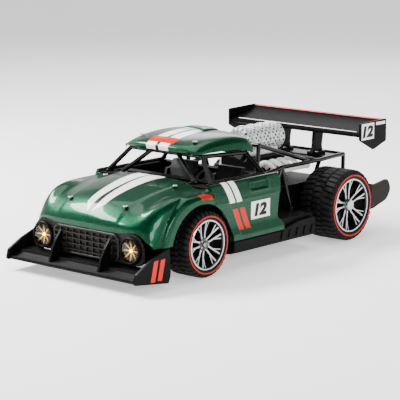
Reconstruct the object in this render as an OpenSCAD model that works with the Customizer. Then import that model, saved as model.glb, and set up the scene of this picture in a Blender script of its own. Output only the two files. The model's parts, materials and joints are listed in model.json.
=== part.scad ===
// Radio-controlled toy race car: a shell-bodied coupe on a moulded tub, with
// steered front wheels, a geared rear axle, an open rear frame and a tall wing.
// The front faces -Y, +X is the car's left side, and the ground is z = 0.

/* [Overall] */
// Distance between the front and rear axles
wheelbase = 132.5; // [120:0.5:160]
// From the front axle to the tip of the splitter
front_overhang = 59.5; // [59:0.5:64]
// From the rear axle to the tip of the rear side plates
rear_overhang = 44; // [42:0.5:52]
// From the centre plane to the outer face of the wheels
car_half_w = 50; // [46:0.5:60]

/* [Wheels] */
// Outer radius of a front tyre
front_tyre_r = 18.75; // [17.5:0.25:19]
// Width of a front tyre
front_tyre_w = 20; // [17:0.5:21]
// Outer radius of a rear tyre
rear_tyre_r = 21.75; // [20.5:0.25:22]
// Width of a rear tyre
rear_tyre_w = 25; // [20:0.5:25.5]
// Outer radius of a front rim, where the tyre sits
front_rim_r = 14.2; // [14:0.1:14.6]
// Outer radius of a rear rim
rear_rim_r = 16.3; // [15:0.1:17]
// Wall of a rim barrel
rim_wall = 1.3; // [1:0.1:1.4]
// Depth of a spoke along the axle
spoke_depth = 2.5; // [1.5:0.1:3]

/* [Chassis] */
// Height of the tub's underside above the ground
tub_z = 8; // [7:0.25:9]
// Depth of the tub
tub_h = 12; // [11:0.25:14]
// Thickness of the tub's floor and walls
tub_t = 2; // [1.5:0.1:2.4]
// Radius of the stand holes in the tub floor
stand_hole_r = 1.6; // [1.2:0.1:2]
// Spacing of the stand holes across the car
stand_dx = 68; // [60:1:72]
// Spacing of the stand holes along the car
stand_dy = 56; // [50:1:58]
// Radius of the battery cell
cell_r = 7; // [6:0.1:7.2]
// Length of the battery cell
cell_l = 50; // [42:1:52]

/* [Steering] */
// Largest steering angle to each side
steer_angle = 14; // [8:1:14]
// Length of the steering arm and of the servo horn
steer_arm = 9; // [8.5:0.1:9.2]
// Radius of a kingpin
kingpin_r = 1.25; // [1:0.05:1.5]
// Radius of a stub axle
stub_r = 2.5; // [2:0.1:3]
// Radius of the steering arm's pin
arm_pin_r = 1; // [0.8:0.05:1.1]
// Radial clearance of every shaft that turns in a hole
run_clear = 0.06; // [0.03:0.01:0.1]

/* [Drive] */
// Module of the gear teeth
gear_module = 0.8; // [0.7:0.05:0.85]
// Teeth of the large gears
large_teeth = 24; // [24:2:26]
// Teeth of the small gears
small_teeth = 10; // [10:2:12]
// Play between meshing teeth
backlash = 0.3; // [0.2:0.05:0.4]
// Radius of the rear axle
axle_r = 1.5; // [1.25:0.05:2]
// Height of the motor can
motor_h = 20; // [18:0.5:21]
// Thickness of the motor can
motor_d = 15; // [13:0.5:15]
// Length of the motor can
motor_l = 24; // [20:0.5:24]

/* [Body] */
// Wall of the hood and roof shells
shell_t = 1.4; // [1:0.1:1.8]
// Radius of the front wheel arches
arch_r = 26; // [25.5:0.25:27]
// Length of the cockpit from its front rim to its rear wall
cockpit_l = 58.5; // [55:0.5:64]
// Height of the cockpit rim above the ground
rim_z = 48.5; // [47:0.25:49]
// Thickness of a door panel
door_t = 1.6; // [1.2:0.1:2]

/* [Frame and wing] */
// Radius of the cage and frame tubes
tube_r = 1.3; // [1:0.1:1.6]
// Height of the roof above the ground
roof_z = 73.2; // [71:0.2:76]
// Height of the wing's leading edge
wing_z = 62.6; // [61:0.2:66]
// Chord of the wing
wing_chord = 26; // [22:0.5:28]
// Thickness of a wing end plate
endplate_t = 1.5; // [1:0.1:2]
// Radius of the blower drum
blower_r = 8.5; // [7:0.1:9]

/* [Hidden] */
$fn = 48;

car_l = front_overhang + wheelbase + rear_overhang;
ra = car_l / 2 - rear_overhang;
fa = ra - wheelbase;
front_z = front_tyre_r;
rear_z = rear_tyre_r;
seat_gap = 0.3;

// Steering layout: the kingpin stands just inside the rim's open end.
king_x = car_half_w - front_tyre_w + 1;
carrier_t = 2.2;
carrier_z = tub_z + tub_t;
knuckle_z0 = carrier_z + carrier_t + seat_gap;
knuckle_z1 = 2 * front_z - knuckle_z0 + 0.5;
upper_z = knuckle_z1 + seat_gap;
arm_t = 2;
rack_z = knuckle_z0 + arm_t + 0.2;
rack_t = 2;
rack_w = 3.6;
horn_z = rack_z + rack_t + 0.3;
horn_y = fa + 2 * steer_arm;
front_tub_half = king_x - 7.5;

// Drive layout: the three gear shafts lie in one level plane.
large_r = large_teeth * gear_module / 2;
small_r = small_teeth * gear_module / 2;
gear_step = large_r + small_r;
compound_y = ra - gear_step;
pinion_y = ra - 2 * gear_step;
gear_w = 4.5;
gearbox_half = car_half_w - rear_tyre_w - 3;
gearbox_t = 1.5;
gearbox_front = pinion_y - motor_d / 2 - 2.2;
gearbox_rear = ra + large_r + 0.8 * gear_module + 3.26;
gearbox_h = large_r + 0.8 * gear_module + 1 + gearbox_t;

// Body layout, measured back from the front axle.
tub_half_w = car_half_w - 7;
body_half = car_half_w - 2.5;
arch_y = fa - 1.6;
arch_z = 15.5;
tub_wide_y = fa + 25.5;
tub_rear_y = ra - 30;
deck_z = tub_z + tub_h;
cockpit_half = tub_half_w - 1;
cockpit_front = fa + 8.5;
cockpit_rear = cockpit_front + cockpit_l;
cockpit_t = 1.5;
cockpit_floor = tub_z + tub_t + 2 * cell_r + 2;
footwell_y = fa + 25.5;
cell_y = cockpit_rear - cockpit_t - cell_r - 1.5;
roof_low_z = roof_z - 8.6;
wing_le = ra + 4.6;
wing_half = car_half_w + 2.3 - endplate_t;
frame_z = 47.4;
frame_rear_y = ra + 25.4;
block_y0 = ra - 50;
block_y1 = ra - 18;
block_z0 = rear_z + gearbox_h + 0.1;
block_z1 = 52;
blower_z = block_z1 + blower_r + 1;

// ---- Helpers -------------------------------------------------------------

module both() {
    children();
    mirror([1, 0, 0]) children();
}

module slab(x0, x1, y0, y1, z0, z1) {
    translate([x0, y0, z0]) cube([x1 - x0, y1 - y0, z1 - z0]);
}

// A side view outline, drawn as [y, z], from x0 to x1.
module side_plate(x0, x1) {
    translate([x0, 0, 0]) rotate([90, 0, 90]) linear_extrude(x1 - x0) children();
}

// A round bar along X from x0 to x1.
module x_rod(x0, x1, y, z, r) {
    translate([x0, y, z]) rotate([0, 90, 0]) cylinder(r = r, h = x1 - x0);
}

// A round bar along Y from y0 to y1.
module y_rod(x, y0, y1, z, r) {
    translate([x, y0, z]) rotate([-90, 0, 0]) cylinder(r = r, h = y1 - y0);
}

module z_rod(x, y, z0, z1, r) {
    translate([x, y, z0]) cylinder(r = r, h = z1 - z0);
}

// A straight tube between two points, with a ball at its first end.
module bar(p, q, r) {
    d = q - p;
    translate(p) rotate([0, acos(d[2] / norm(d)), atan2(d[1], d[0])]) cylinder(r = r, h = norm(d));
    translate(p) sphere(r = r * 1.02);
}

// A run of tubes through the points.
module tube_run(points, r) {
    for (i = [0 : len(points) - 2]) bar(points[i], points[i + 1], r);
    translate(points[len(points) - 1]) sphere(r = r * 1.02);
}

// A smooth curve through the guide's points; s counts from point to point.
function blend4(a, b, c, d, t) =
    0.5 * (2 * b + (c - a) * t + (2 * a - 5 * b + 4 * c - d) * t * t + (3 * b - a - 3 * c + d) * t * t * t);
function along(g, s) =
    let (n = len(g) - 1, i = min(floor(s), n - 1))
    blend4(g[max(i - 1, 0)], g[i], g[i + 1], g[min(i + 2, n)], s - i);
function surface_point(guides, s, u) = along([for (g = guides) along(g, s)], u);
function flip_x(p, side) = [p[0] * side, p[1], p[2]];

// A thin symmetric shell stretched over lengthwise guide curves, which run
// from the centre plane out to the lower edge.
module shell(guides, rows, cols, wall) {
    stations = len(guides[0]) - 1;
    across = len(guides) - 1;
    outer = [for (i = [0 : rows]) [for (j = [-cols : cols])
        flip_x(surface_point(guides, i * stations / rows, abs(j) * across / cols),
            sign(j + 0.5 * (j == 0 ? 1 : 0)))]];
    last = 2 * cols;
    inner = [for (i = [0 : rows]) [for (j = [0 : last])
        let (back = outer[min(i + 1, rows)][j] - outer[max(i - 1, 0)][j],
             right = outer[i][min(j + 1, last)] - outer[i][max(j - 1, 0)],
             n = cross(right, back))
        outer[i][j] - wall * n / norm(n)]];
    points = concat([for (row = outer) each row], [for (row = inner) each row]);
    w = last + 1;
    o = (rows + 1) * w;
    quads = concat(
        [for (i = [0 : rows - 1]) for (j = [0 : last - 1]) [i * w + j, (i + 1) * w + j,
            (i + 1) * w + j + 1, i * w + j + 1]],
        [for (i = [0 : rows - 1]) for (j = [0 : last - 1]) [o + i * w + j, o + i * w + j + 1,
            o + (i + 1) * w + j + 1, o + (i + 1) * w + j]],
        [for (j = [0 : last - 1]) [j, j + 1, o + j + 1, o + j]],
        [for (j = [0 : last - 1]) [rows * w + j + 1, rows * w + j, o + rows * w + j, o + rows * w + j + 1]],
        [for (i = [0 : rows - 1]) [(i + 1) * w, i * w, o + i * w, o + (i + 1) * w]],
        [for (i = [0 : rows - 1]) [i * w + last, (i + 1) * w + last, o + (i + 1) * w + last,
            o + i * w + last]]);
    polyhedron(points, [for (q = quads) each [[q[0], q[1], q[2]], [q[0], q[2], q[3]]]], convexity = 6);
}

// Involute spur gear outline with a tooth centred on +X.
function involute(a) = tan(a) * 180 / PI - a;
function tooth_half_angle(teeth, r) =
    let (pitch_r = teeth * gear_module / 2, base_r = pitch_r * cos(20))
    90 / teeth - backlash / 2 / pitch_r * 90 / PI + involute(20) - involute(acos(min(1, base_r / r)));
module gear_outline(teeth) {
    pitch_r = teeth * gear_module / 2;
    root_r = pitch_r - 1.15 * gear_module;
    base_r = max(root_r, pitch_r * cos(20));
    tip_r = pitch_r + 0.8 * gear_module;
    steps = 4;
    radii = [root_r, for (i = [0 : steps]) base_r + (tip_r - base_r) * i / steps];
    polygon([for (k = [0 : teeth - 1]) each concat(
        [for (r = radii) let (a = k * 360 / teeth - tooth_half_angle(teeth, r)) [r * cos(a), r * sin(a)]],
        [for (i = [len(radii) - 1 : -1 : 0]) let (r = radii[i],
            a = k * 360 / teeth + tooth_half_angle(teeth, r))
            [r * cos(a), r * sin(a)]])]);
}
module gear(x0, width, y, z, teeth, turn) {
    translate([x0, y, z]) rotate([90, 0, 90]) linear_extrude(width) rotate(turn) gear_outline(teeth);
}

// ---- Chassis -------------------------------------------------------------

function tub_half(inset, wide) = [
    [front_tub_half - inset, fa - 43 + inset],
    [front_tub_half - inset, tub_wide_y - 1 + inset],
    [wide - inset, tub_wide_y + 1 + inset],
    [wide - inset, tub_rear_y - inset],
    [gearbox_half + seat_gap + inset, tub_rear_y - inset],
    [gearbox_half + seat_gap + inset, gearbox_front - seat_gap - inset]];
function mirrored(half) = concat(half, [for (i = [len(half) - 1 : -1 : 0]) [-half[i][0], half[i][1]]]);
stand_y = fa + 35;
hood_screw = [gx(21.3), fa - 36, 42.1];
cover_half = cell_l / 2 + 1.5;
cover_y0 = cell_y - cell_r - 1.5;
cover_y1 = cell_y + cell_r + 1.5;
cover_gap = 0.2;
flange_half = 12;
flange_t = 3;
switch_x = 30;
switch_y = cover_y0 - 4.8;

module chassis_tub() color("#17181a") {
    difference() {
        translate([0, 0, tub_z]) linear_extrude(tub_h) polygon(mirrored(tub_half(0, tub_half_w)));
        translate([0, 0, tub_z + tub_t]) linear_extrude(tub_h) polygon(mirrored(tub_half(tub_t,
            tub_half_w)));
        // The front axle carrier and the steered wheels need the front walls low.
        slab(-40, 40, fa - 26, fa + 23, carrier_z, deck_z + 1);
        slab(-cover_half, cover_half, cover_y0, cover_y1, tub_z - 1, tub_z + tub_t + 1);
        slab(switch_x - 4.2, switch_x + 4.2, switch_y - 2.7, switch_y + 2.7, tub_z - 1, tub_z + tub_t + 1);
        // Gap in the rear wall for the gearbox flange.
        slab(-flange_half - 0.3, flange_half + 0.3, gearbox_front - 4, gearbox_front, carrier_z,
            carrier_z + flange_t + 0.3);
        for (sx = [-1, 1]) for (k = [0, 1])
            z_rod(sx * stand_dx / 2, stand_y + k * stand_dy, tub_z - 1, tub_z + tub_t + 1, stand_hole_r);
    }
    // Bosses round the stand holes.
    for (sx = [-1, 1]) for (k = [0, 1]) difference() {
        z_rod(sx * stand_dx / 2, stand_y + k * stand_dy, tub_z + tub_t, tub_z + 6, stand_hole_r + 1.4);
        z_rod(sx * stand_dx / 2, stand_y + k * stand_dy, tub_z, tub_z + 7, stand_hole_r);
    }
    // Posts that carry the hood.
    both() difference() {
        z_rod(hood_screw[0], hood_screw[1], tub_z + tub_t, hood_screw[2] - 4.4, 2.2);
        z_rod(hood_screw[0], hood_screw[1], hood_screw[2] - 12, hood_screw[2], 0.8);
    }
    // Cradle walls that hold the cell at its ends.
    both() slab(cell_l / 2 + 1.9, cell_l / 2 + 3.4, cover_y0, cover_y1, tub_z + tub_t, deck_z - 1);
}

module battery_cover() color("#1c1d20") difference() {
    union() {
        slab(-cover_half + cover_gap, cover_half - cover_gap, cover_y0 + cover_gap, cover_y1 - cover_gap,
            tub_z, tub_z + 1.6);
        for (k = [-3 : 3]) slab(k * 6 - 1, k * 6 + 1, cell_y - 6, cell_y + 6, tub_z - 0.4, tub_z + 0.4);
    }
    z_rod(0, cover_y1 - 2, tub_z - 1, tub_z + 3, 1);
}

module battery_cell() color("#2f6db0") {
    x_rod(-cell_l / 2, cell_l / 2, cell_y, tub_z + tub_t + cell_r + 0.2, cell_r);
}

module battery_contacts() color("#c9b27a") both() {
    difference() {
        slab(cell_l / 2 + 0.2, cell_l / 2 + 1.9, cell_y - 4, cell_y + 4, tub_z + tub_t, tub_z + tub_t + 9);
        slab(cell_l / 2 + 0.7, cell_l / 2 + 1.4, cell_y - 5, cell_y + 5, tub_z + tub_t + 1,
            tub_z + tub_t + 8);
    }
}

board_z = tub_z + tub_t + 2;
board_l = 14;
board_y0 = cover_y0 - board_l - 1;
module circuit_board() color("#1f6a3c") {
    slab(-17, 17, board_y0, board_y0 + board_l, board_z, board_z + 1.2);
    for (sx = [-1, 1]) for (k = [0, 1]) z_rod(sx * 15, board_y0 + 2 + (board_l - 4) * k, tub_z + tub_t,
        board_z, 1.4);
    slab(-6, 6, board_y0 + 3, board_y0 + 11, board_z + 1.2, board_z + 3);
    for (k = [-1, 1]) z_rod(k * 10, board_y0 + 8, board_z + 1.2, board_z + 6, 2);
}

// Cross-head screws of the underside and the battery cover.
module chassis_screws() color("#8d9094") {
    z_rod(0, cover_y1 - 2, tub_z - 0.3, tub_z + 1.4, 0.95);
    both() {
        z_rod(10, gearbox_front - 4, tub_z - 0.6, tub_z, 2);
        z_rod(14, fa - 34, tub_z - 2.7, tub_z - 2.1, 2);
    }
}

module switch_housing() color("#202225") difference() {
    slab(switch_x - 7, switch_x + 7, switch_y - 4.5, switch_y + 4.5, tub_z + tub_t, tub_z + tub_t + 3.5);
    slab(switch_x - 4.2, switch_x + 4.2, switch_y - 2.7, switch_y + 2.7, tub_z, tub_z + tub_t + 1.5);
}

module switch_knob() color("#b9bcc0") {
    slab(switch_x - 3.9, switch_x + 0.9, switch_y - 2.4, switch_y + 2.4, tub_z + 0.8, tub_z + tub_t + 1.3);
    slab(switch_x - 2.5, switch_x - 0.5, switch_y - 1.4, switch_y + 1.4, tub_z - 0.5, tub_z + 0.8);
}

// ---- Nose ----------------------------------------------------------------

grille_y = fa - 44.6;
grille_half = 22;
lamp_x = 33.6 * car_half_w / 50;
lamp_z = 20.5;
lamp_r = 7.6;
fin_t = 1.5;

module splitter_fin(x0) side_plate(x0, x0 + fin_t)
    polygon([[fa - front_overhang, 6.3], [fa - front_overhang + 1.4, 12], [fa - 47.7, 17.2],
        [fa - 32, 22.6], [fa - 31, 8], [fa - 32.6, 3]]);
module front_splitter() color("#1b1c1e") {
    side_plate(-car_half_w + fin_t, car_half_w - fin_t)
        polygon([[fa - 57.6, 6.6], [fa - 57.6, 8.2], [fa - 50.6, 11], [fa - 45, 12], [fa - 43, 12],
            [fa - 43, tub_z], [fa - 31, tub_z], [fa - 31, tub_z - 1.8], [fa - 50, 5.6]]);
    both() splitter_fin(car_half_w - fin_t);
    both() side_plate(18.2, 19.6)
        polygon([[fa - 55.4, 8], [fa - 46.2, 24.5], [grille_y - 1.4, 26], [grille_y - 1.4, 11.5],
            [fa - 50, 10.8]]);
}

module front_grille() color("#2b2522") {
    slab(-42, 42, grille_y, grille_y + 1.6, 12, 28);
    for (k = [0 : 4]) slab(-grille_half, grille_half, grille_y - 1.2, grille_y, 13 + k * 3.4, 14 + k * 3.4);
    for (k = [-4 : 4]) slab(k * 5 - 0.6, k * 5 + 0.6, grille_y - 0.9, grille_y, 13, 27.6);
}

module headlight_bezels() color("#161616") both() {
    translate([lamp_x, grille_y, lamp_z]) rotate([90, 0, 0]) rotate_extrude()
        polygon([[lamp_r - 1.3, 0], [lamp_r, 0], [lamp_r, 1.4], [lamp_r - 0.6, 2], [lamp_r - 1.3, 1.6]]);
}

module headlight_lenses() color("#f7e7b8") both() {
    y_rod(lamp_x, grille_y - 1.5, grille_y - 0.9, lamp_z, lamp_r - 1.35);
}

module headlight_leds() color("#fff6d8") both() {
    y_rod(lamp_x, grille_y - 0.8, grille_y, lamp_z, 2.2);
}

// ---- Steering ------------------------------------------------------------

module front_axle_carrier() color("#222427") difference() {
    union() {
        slab(-king_x - 2.4, king_x + 2.4, fa - 4, fa + 4, carrier_z, carrier_z + carrier_t);
        slab(-20, 20, fa - 9, fa + steer_arm + 3.4, carrier_z, carrier_z + carrier_t);
        both() slab(12, 18, fa + steer_arm - rack_w / 2 - 1.6, fa + steer_arm + rack_w / 2 + 1.6,
            carrier_z, rack_z + rack_t + 1.4);
    }
    both() z_rod(king_x, fa, carrier_z - 1, carrier_z + 9, kingpin_r);
    slab(-40, 40, fa + steer_arm - rack_w / 2 - 0.1, fa + steer_arm + rack_w / 2 + 0.1, rack_z - 0.1,
        rack_z + rack_t + 0.1);
}

module front_upper_plate() color("#26282b") difference() {
    union() {
        slab(-king_x - 2.4, king_x + 2.4, fa - 4, fa + 4, upper_z, upper_z + carrier_t);
        both() slab(13, 17, fa - 4, fa + 3, carrier_z + carrier_t, upper_z);
    }
    both() z_rod(king_x, fa, upper_z - 1, upper_z + 9, kingpin_r);
}

module kingpins() color("#a6a9ad") both() {
    z_rod(king_x, fa, carrier_z, upper_z + carrier_t, kingpin_r);
    z_rod(king_x, fa, upper_z + carrier_t, upper_z + carrier_t + 0.8, kingpin_r + 0.9);
}

module knuckle() difference() {
    union() {
        z_rod(king_x, fa, knuckle_z0, knuckle_z1, 3);
        x_rod(king_x, car_half_w - 3.2, fa, front_z, stub_r);
        x_rod(king_x + 1.5, king_x + 5, fa, front_z, 4.5);
        slab(king_x - 1.8, king_x + 1.8, fa, fa + steer_arm, knuckle_z0, knuckle_z0 + arm_t);
        z_rod(king_x, fa + steer_arm, knuckle_z0, knuckle_z0 + arm_t, 1.8);
        z_rod(king_x, fa + steer_arm, knuckle_z0 + arm_t, rack_z + rack_t + 0.4, arm_pin_r);
    }
    z_rod(king_x, fa, knuckle_z0 - 1, knuckle_z1 + 1, kingpin_r + run_clear);
    x_rod(car_half_w - 9, car_half_w, fa, front_z, 0.8);
}
module left_knuckle() color("#2a2c2f") knuckle();
module right_knuckle() color("#2a2c2f") mirror([1, 0, 0]) knuckle();

module steering_rack() color("#34373b") difference() {
    union() {
        slab(-king_x, king_x, fa + steer_arm - rack_w / 2, fa + steer_arm + rack_w / 2, rack_z,
            rack_z + rack_t);
        both() z_rod(king_x, fa + steer_arm, rack_z, rack_z + rack_t, rack_w / 2);
    }
    for (x = [-king_x, 0, king_x]) slab(x - arm_pin_r - 0.12, x + arm_pin_r + 0.12,
        fa + steer_arm - arm_pin_r - 0.4, fa + steer_arm + arm_pin_r + 0.4, rack_z - 1,
            rack_z + rack_t + 1);
}

module servo_horn() color("#e4e6e8") {
    z_rod(0, horn_y, horn_z, horn_z + 2, 3);
    slab(-1.6, 1.6, fa + steer_arm, horn_y, horn_z, horn_z + 2);
    z_rod(0, fa + steer_arm, horn_z, horn_z + 2, 1.6);
    z_rod(0, fa + steer_arm, rack_z + 0.2, horn_z, arm_pin_r);
    z_rod(0, horn_y, horn_z - 4, horn_z, 1.5);
}

module steering_servo() color("#1e2a3a") difference() {
    union() {
        slab(-10, 10, fa + steer_arm + 4, horn_y + 14, tub_z + tub_t, horn_z - 0.4);
        both() slab(10, 14, horn_y, horn_y + 4, tub_z + tub_t, tub_z + tub_t + 2);
    }
    z_rod(0, horn_y, horn_z - 4.2, horn_z, 1.5 + run_clear);
}

// ---- Wheels --------------------------------------------------------------

// A tyre on the left side, its outer face at x1, with two tread grooves.
module tyre(y, z, r, rim_r, x0, x1) {
    w = x1 - x0;
    translate([x0, y, z]) rotate([0, 90, 0]) rotate_extrude($fn = 96)
        polygon([[rim_r, 0], [r - 3.2, 0], [r - 0.8, 1.2], [r, 3.2],
            [r, w * 0.36], [r - 0.8, w * 0.38], [r - 0.8, w * 0.42], [r, w * 0.44],
            [r, w * 0.56], [r - 0.8, w * 0.58], [r - 0.8, w * 0.62], [r, w * 0.64],
            [r, w - 3.2], [r - 0.8, w - 1.2], [r - 3.2, w], [rim_r, w]]);
}

// A rim on the left side: barrel, back disc, hub and five pairs of spokes.
module rim(y, z, r, x0, x1, hub_x, bore_r) {
    difference() {
        union() {
            translate([x0, y, z]) rotate([0, 90, 0]) rotate_extrude($fn = 96)
                polygon([[r - rim_wall, 0], [r, 0], [r, x1 - x0], [r - rim_wall, x1 - x0 - 0.5]]);
            x_rod(x1 - 8.2, x1 - 7, y, z, r - 0.2);
            x_rod(hub_x, x1 - 2.6, y, z, 4.2);
            translate([x1 - 3 - spoke_depth, y, z]) rotate([90, 0, 90]) linear_extrude(spoke_depth)
                for (k = [0 : 4]) for (s = [-1, 1]) rotate(72 * k + 90) translate([0, s * 2]) rotate(s * 5)
                    translate([2.5, -0.65]) square([r - 3.2, 1.3]);
        }
        x_rod(hub_x - 1, x1, y, z, bore_r);
    }
}
front_x0 = car_half_w - front_tyre_w;
rear_x0 = car_half_w - rear_tyre_w;
module front_tyre() tyre(fa, front_z, front_tyre_r, front_rim_r, front_x0, car_half_w);
module front_rim() rim(fa, front_z, front_rim_r, front_x0, car_half_w - 0.4, king_x + 6,
    stub_r + run_clear);
module front_screw() {
    x_rod(car_half_w - 3, car_half_w - 1.6, fa, front_z, 3.4);
    x_rod(car_half_w - 8.5, car_half_w - 3, fa, front_z, 0.75);
}
module rear_tyre() tyre(ra, rear_z, rear_tyre_r, rear_rim_r, rear_x0, car_half_w);
module rear_rim() rim(ra, rear_z, rear_rim_r, rear_x0, car_half_w - 0.4, rear_x0 + 4, axle_r);

module front_left_tyre() color("#1a1a1b") front_tyre();
module front_left_rim() color("#9a9da1") front_rim();
module front_left_screw() color("#c8cbd0") front_screw();
module front_right_tyre() color("#1a1a1b") mirror([1, 0, 0]) front_tyre();
module front_right_rim() color("#9a9da1") mirror([1, 0, 0]) front_rim();
module front_right_screw() color("#c8cbd0") mirror([1, 0, 0]) front_screw();
module rear_left_tyre() color("#1a1a1b") rear_tyre();
module rear_left_rim() color("#9a9da1") rear_rim();
module rear_right_tyre() color("#1a1a1b") mirror([1, 0, 0]) rear_tyre();
module rear_right_rim() color("#9a9da1") mirror([1, 0, 0]) rear_rim();

// ---- Drive ---------------------------------------------------------------

rib_x = -3.6;
rib_t = 2;
axle_gear_x = -0.8;
big_gear_x = axle_gear_x + gear_w + 1.2;
wall_x = big_gear_x + gear_w + 0.8;

// The gearbox halves meet on the plane of the shafts.
module gearbox_body(z0, z1) difference() {
    union() {
        difference() {
            slab(-gearbox_half, gearbox_half, gearbox_front, gearbox_rear, z0, z1);
            slab(-gearbox_half + gearbox_t, gearbox_half - gearbox_t, gearbox_front + gearbox_t,
                gearbox_rear - gearbox_t, max(z0 + (z0 < rear_z ? gearbox_t : -1), 0),
                z1 + (z0 < rear_z ? 1 : -gearbox_t));
        }
        slab(rib_x, rib_x + rib_t, compound_y - 3.4, gearbox_rear - gearbox_t, z0 + 0.5,
            z1 - 0.5 + (z0 < rear_z ? 0.5 : 0));
        slab(rib_x, rib_x + rib_t, compound_y - 3.4, gearbox_rear - gearbox_t, max(z0, rear_z), z1 - 0.5);
        slab(wall_x, wall_x + 2, compound_y - 4, compound_y + 4, z0 + 0.5, z1 - (z0 < rear_z ? 0 : 0.5));
    }
    x_rod(-car_half_w, car_half_w, ra, rear_z, axle_r + 1.2);
    x_rod(rib_x - 1, wall_x + 3, compound_y, rear_z, 1);
}
module gearbox_lower() color("#1d1f22") {
    gearbox_body(rear_z - gearbox_h, rear_z);
    slab(-flange_half, flange_half, gearbox_front - 8, gearbox_front, tub_z + tub_t,
        tub_z + tub_t + flange_t);
}
module gearbox_upper() color("#24262a") gearbox_body(rear_z, rear_z + gearbox_h);

motor_x1 = big_gear_x - 0.8;
module drive_motor() color("#b4b7bb") difference() {
    intersection() {
        slab(motor_x1 - motor_l, motor_x1, pinion_y - motor_d / 2, pinion_y + motor_d / 2,
            rear_z - motor_h / 2, rear_z + motor_h / 2);
        x_rod(motor_x1 - motor_l, motor_x1, pinion_y, rear_z, motor_h / 2);
    }
    x_rod(motor_x1 - 8, motor_x1 + 1, pinion_y, rear_z, 1 + run_clear);
}

module motor_pinion() color("#e8e2cf") {
    gear(big_gear_x - 0.2, gear_w + 0.4, pinion_y, rear_z, small_teeth, 180 / small_teeth);
    x_rod(motor_x1 - 7.6, big_gear_x, pinion_y, rear_z, 1);
}

module gear_shaft() color("#a6a9ad") x_rod(rib_x, wall_x + 2, compound_y, rear_z, 1);

module compound_gear() color("#e8e2cf") difference() {
    union() {
        gear(big_gear_x, gear_w, compound_y, rear_z, large_teeth, 0);
        gear(axle_gear_x, big_gear_x - axle_gear_x, compound_y, rear_z, small_teeth, 180 / small_teeth);
    }
    x_rod(rib_x, wall_x + 3, compound_y, rear_z, 1 + run_clear);
}

module rear_axle() color("#b9bcc1") x_rod(-car_half_w + 2.6, car_half_w - 2.6, ra, rear_z, axle_r);

module axle_gear() color("#efe9d8") difference() {
    union() {
        gear(axle_gear_x, gear_w, ra, rear_z, large_teeth, 0);
        x_rod(axle_gear_x - 0.6, axle_gear_x + gear_w + 4, ra, rear_z, 3);
    }
    x_rod(-20, 20, ra, rear_z, axle_r);
}

module axle_bushes() color("#c99b4a") both() difference() {
    union() {
        x_rod(gearbox_half - gearbox_t, gearbox_half + 0.8, ra, rear_z, axle_r + 1.2);
        x_rod(gearbox_half, gearbox_half + 0.8, ra, rear_z, axle_r + 2.2);
    }
    x_rod(gearbox_half - 3, gearbox_half + 2, ra, rear_z, axle_r + run_clear);
}

module rear_wheel_nuts() color("#c8cbd0") both() difference() {
    translate([car_half_w - 3, ra, rear_z]) rotate([0, 90, 0]) cylinder(r = 3.4, h = 1.6, $fn = 6);
    x_rod(car_half_w - 4, car_half_w - 2.6, ra, rear_z, axle_r);
}

// ---- Hood, doors and roof ------------------------------------------------

function arch_edge(y) = arch_z + sqrt(pow(arch_r, 2) - pow(y - arch_y, 2));
function gx(x) = x * body_half / 47.5;
// Each row is [half width, distance from the front axle, height].
function placed(rows) = [for (p = rows) [gx(p[0]), fa + p[1], p[2]]];
hood_guides = [
    placed([[0, -45.2, 28.8], [0, -46, 31.5], [0, -45, 34.6], [0, -41, 38.8], [0, -32.4, 43.8],
        [0, -20, 47.5], [0, -8, 50], [0, 2, 51], [0, 8, 50.8]]),
    placed([[12, -45.2, 28.8], [12, -45.9, 31.5], [12, -44.8, 34.5], [12, -40.7, 38.6], [12, -32.3, 43.6],
        [12, -20, 47.3], [12, -8, 49.8], [12, 2, 50.8], [12, 8, 50.7]]),
    placed([[26, -44.7, 29.2], [26, -45.1, 31.8], [26, -43.7, 34.4], [26, -39.6, 37.9], [26, -31.8, 42.4],
        [26, -20, 46], [26, -8, 48.4], [26, 2, 49.6], [26, 8, 49.6]]),
    placed([[33, -44, 30], [33, -44, 32], [33, -42.4, 34.3], [33, -38.8, 37.3], [33, -31.3, 41.4],
        [33, -20, 44.2], [33, -8, 46], [33, 2, 46.8], [33, 8, 47.4]]),
    placed([[38, -43, 29], [38, -42.6, 31.5], [38, -41, 34.4], [38, -37.8, 38.2], [38, -30.8, 43.2],
        [38, -20, 46], [38, -8, 46.7], [38, 2, 46.8], [38, 8, 47.4]]),
    placed([[41.5, -42, 26], [41.8, -41, 29.5], [41.6, -39, 33], [41.8, -36.6, 37.4], [42.2, -30.2, 43.8],
        [42.8, -20, 46.9], [43, -8, 47], [43, 2, 47.2], [42.8, 8, 47.8]]),
    placed([[44, -40.6, 24], [44.3, -39, 26], [44.7, -36.8, 28.5], [45.2, -34, 32], [46, -28.6, 36],
        [46.6, -20, 41.5], [46.8, -8, 44.6], [46.8, 2, 44.8], [46.4, 8, 44]]),
    [for (p = [[45, -39.4], [45.4, -37.6], [45.8, -35.4], [46.4, -32.4], [47, -26.6],
        [47.4, -20], [47.5, -8], [47.5, 2], [47, 8]])
        [gx(p[0]), fa + p[1], p[1] < -26 ? 22 : arch_edge(fa + p[1])]]];
cowl_screw = [gx(27), fa - 1.8, 49.5];

module body_front() color("#1d6b4b") difference() {
    shell(hood_guides, 24, 20, shell_t);
    both() z_rod(hood_screw[0], hood_screw[1], 30, 60, 1);
    both() z_rod(cowl_screw[0], cowl_screw[1], 40, 60, 1);
}

door_y0 = fa + 8.3;
door_y1 = cockpit_rear - 1;
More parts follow.
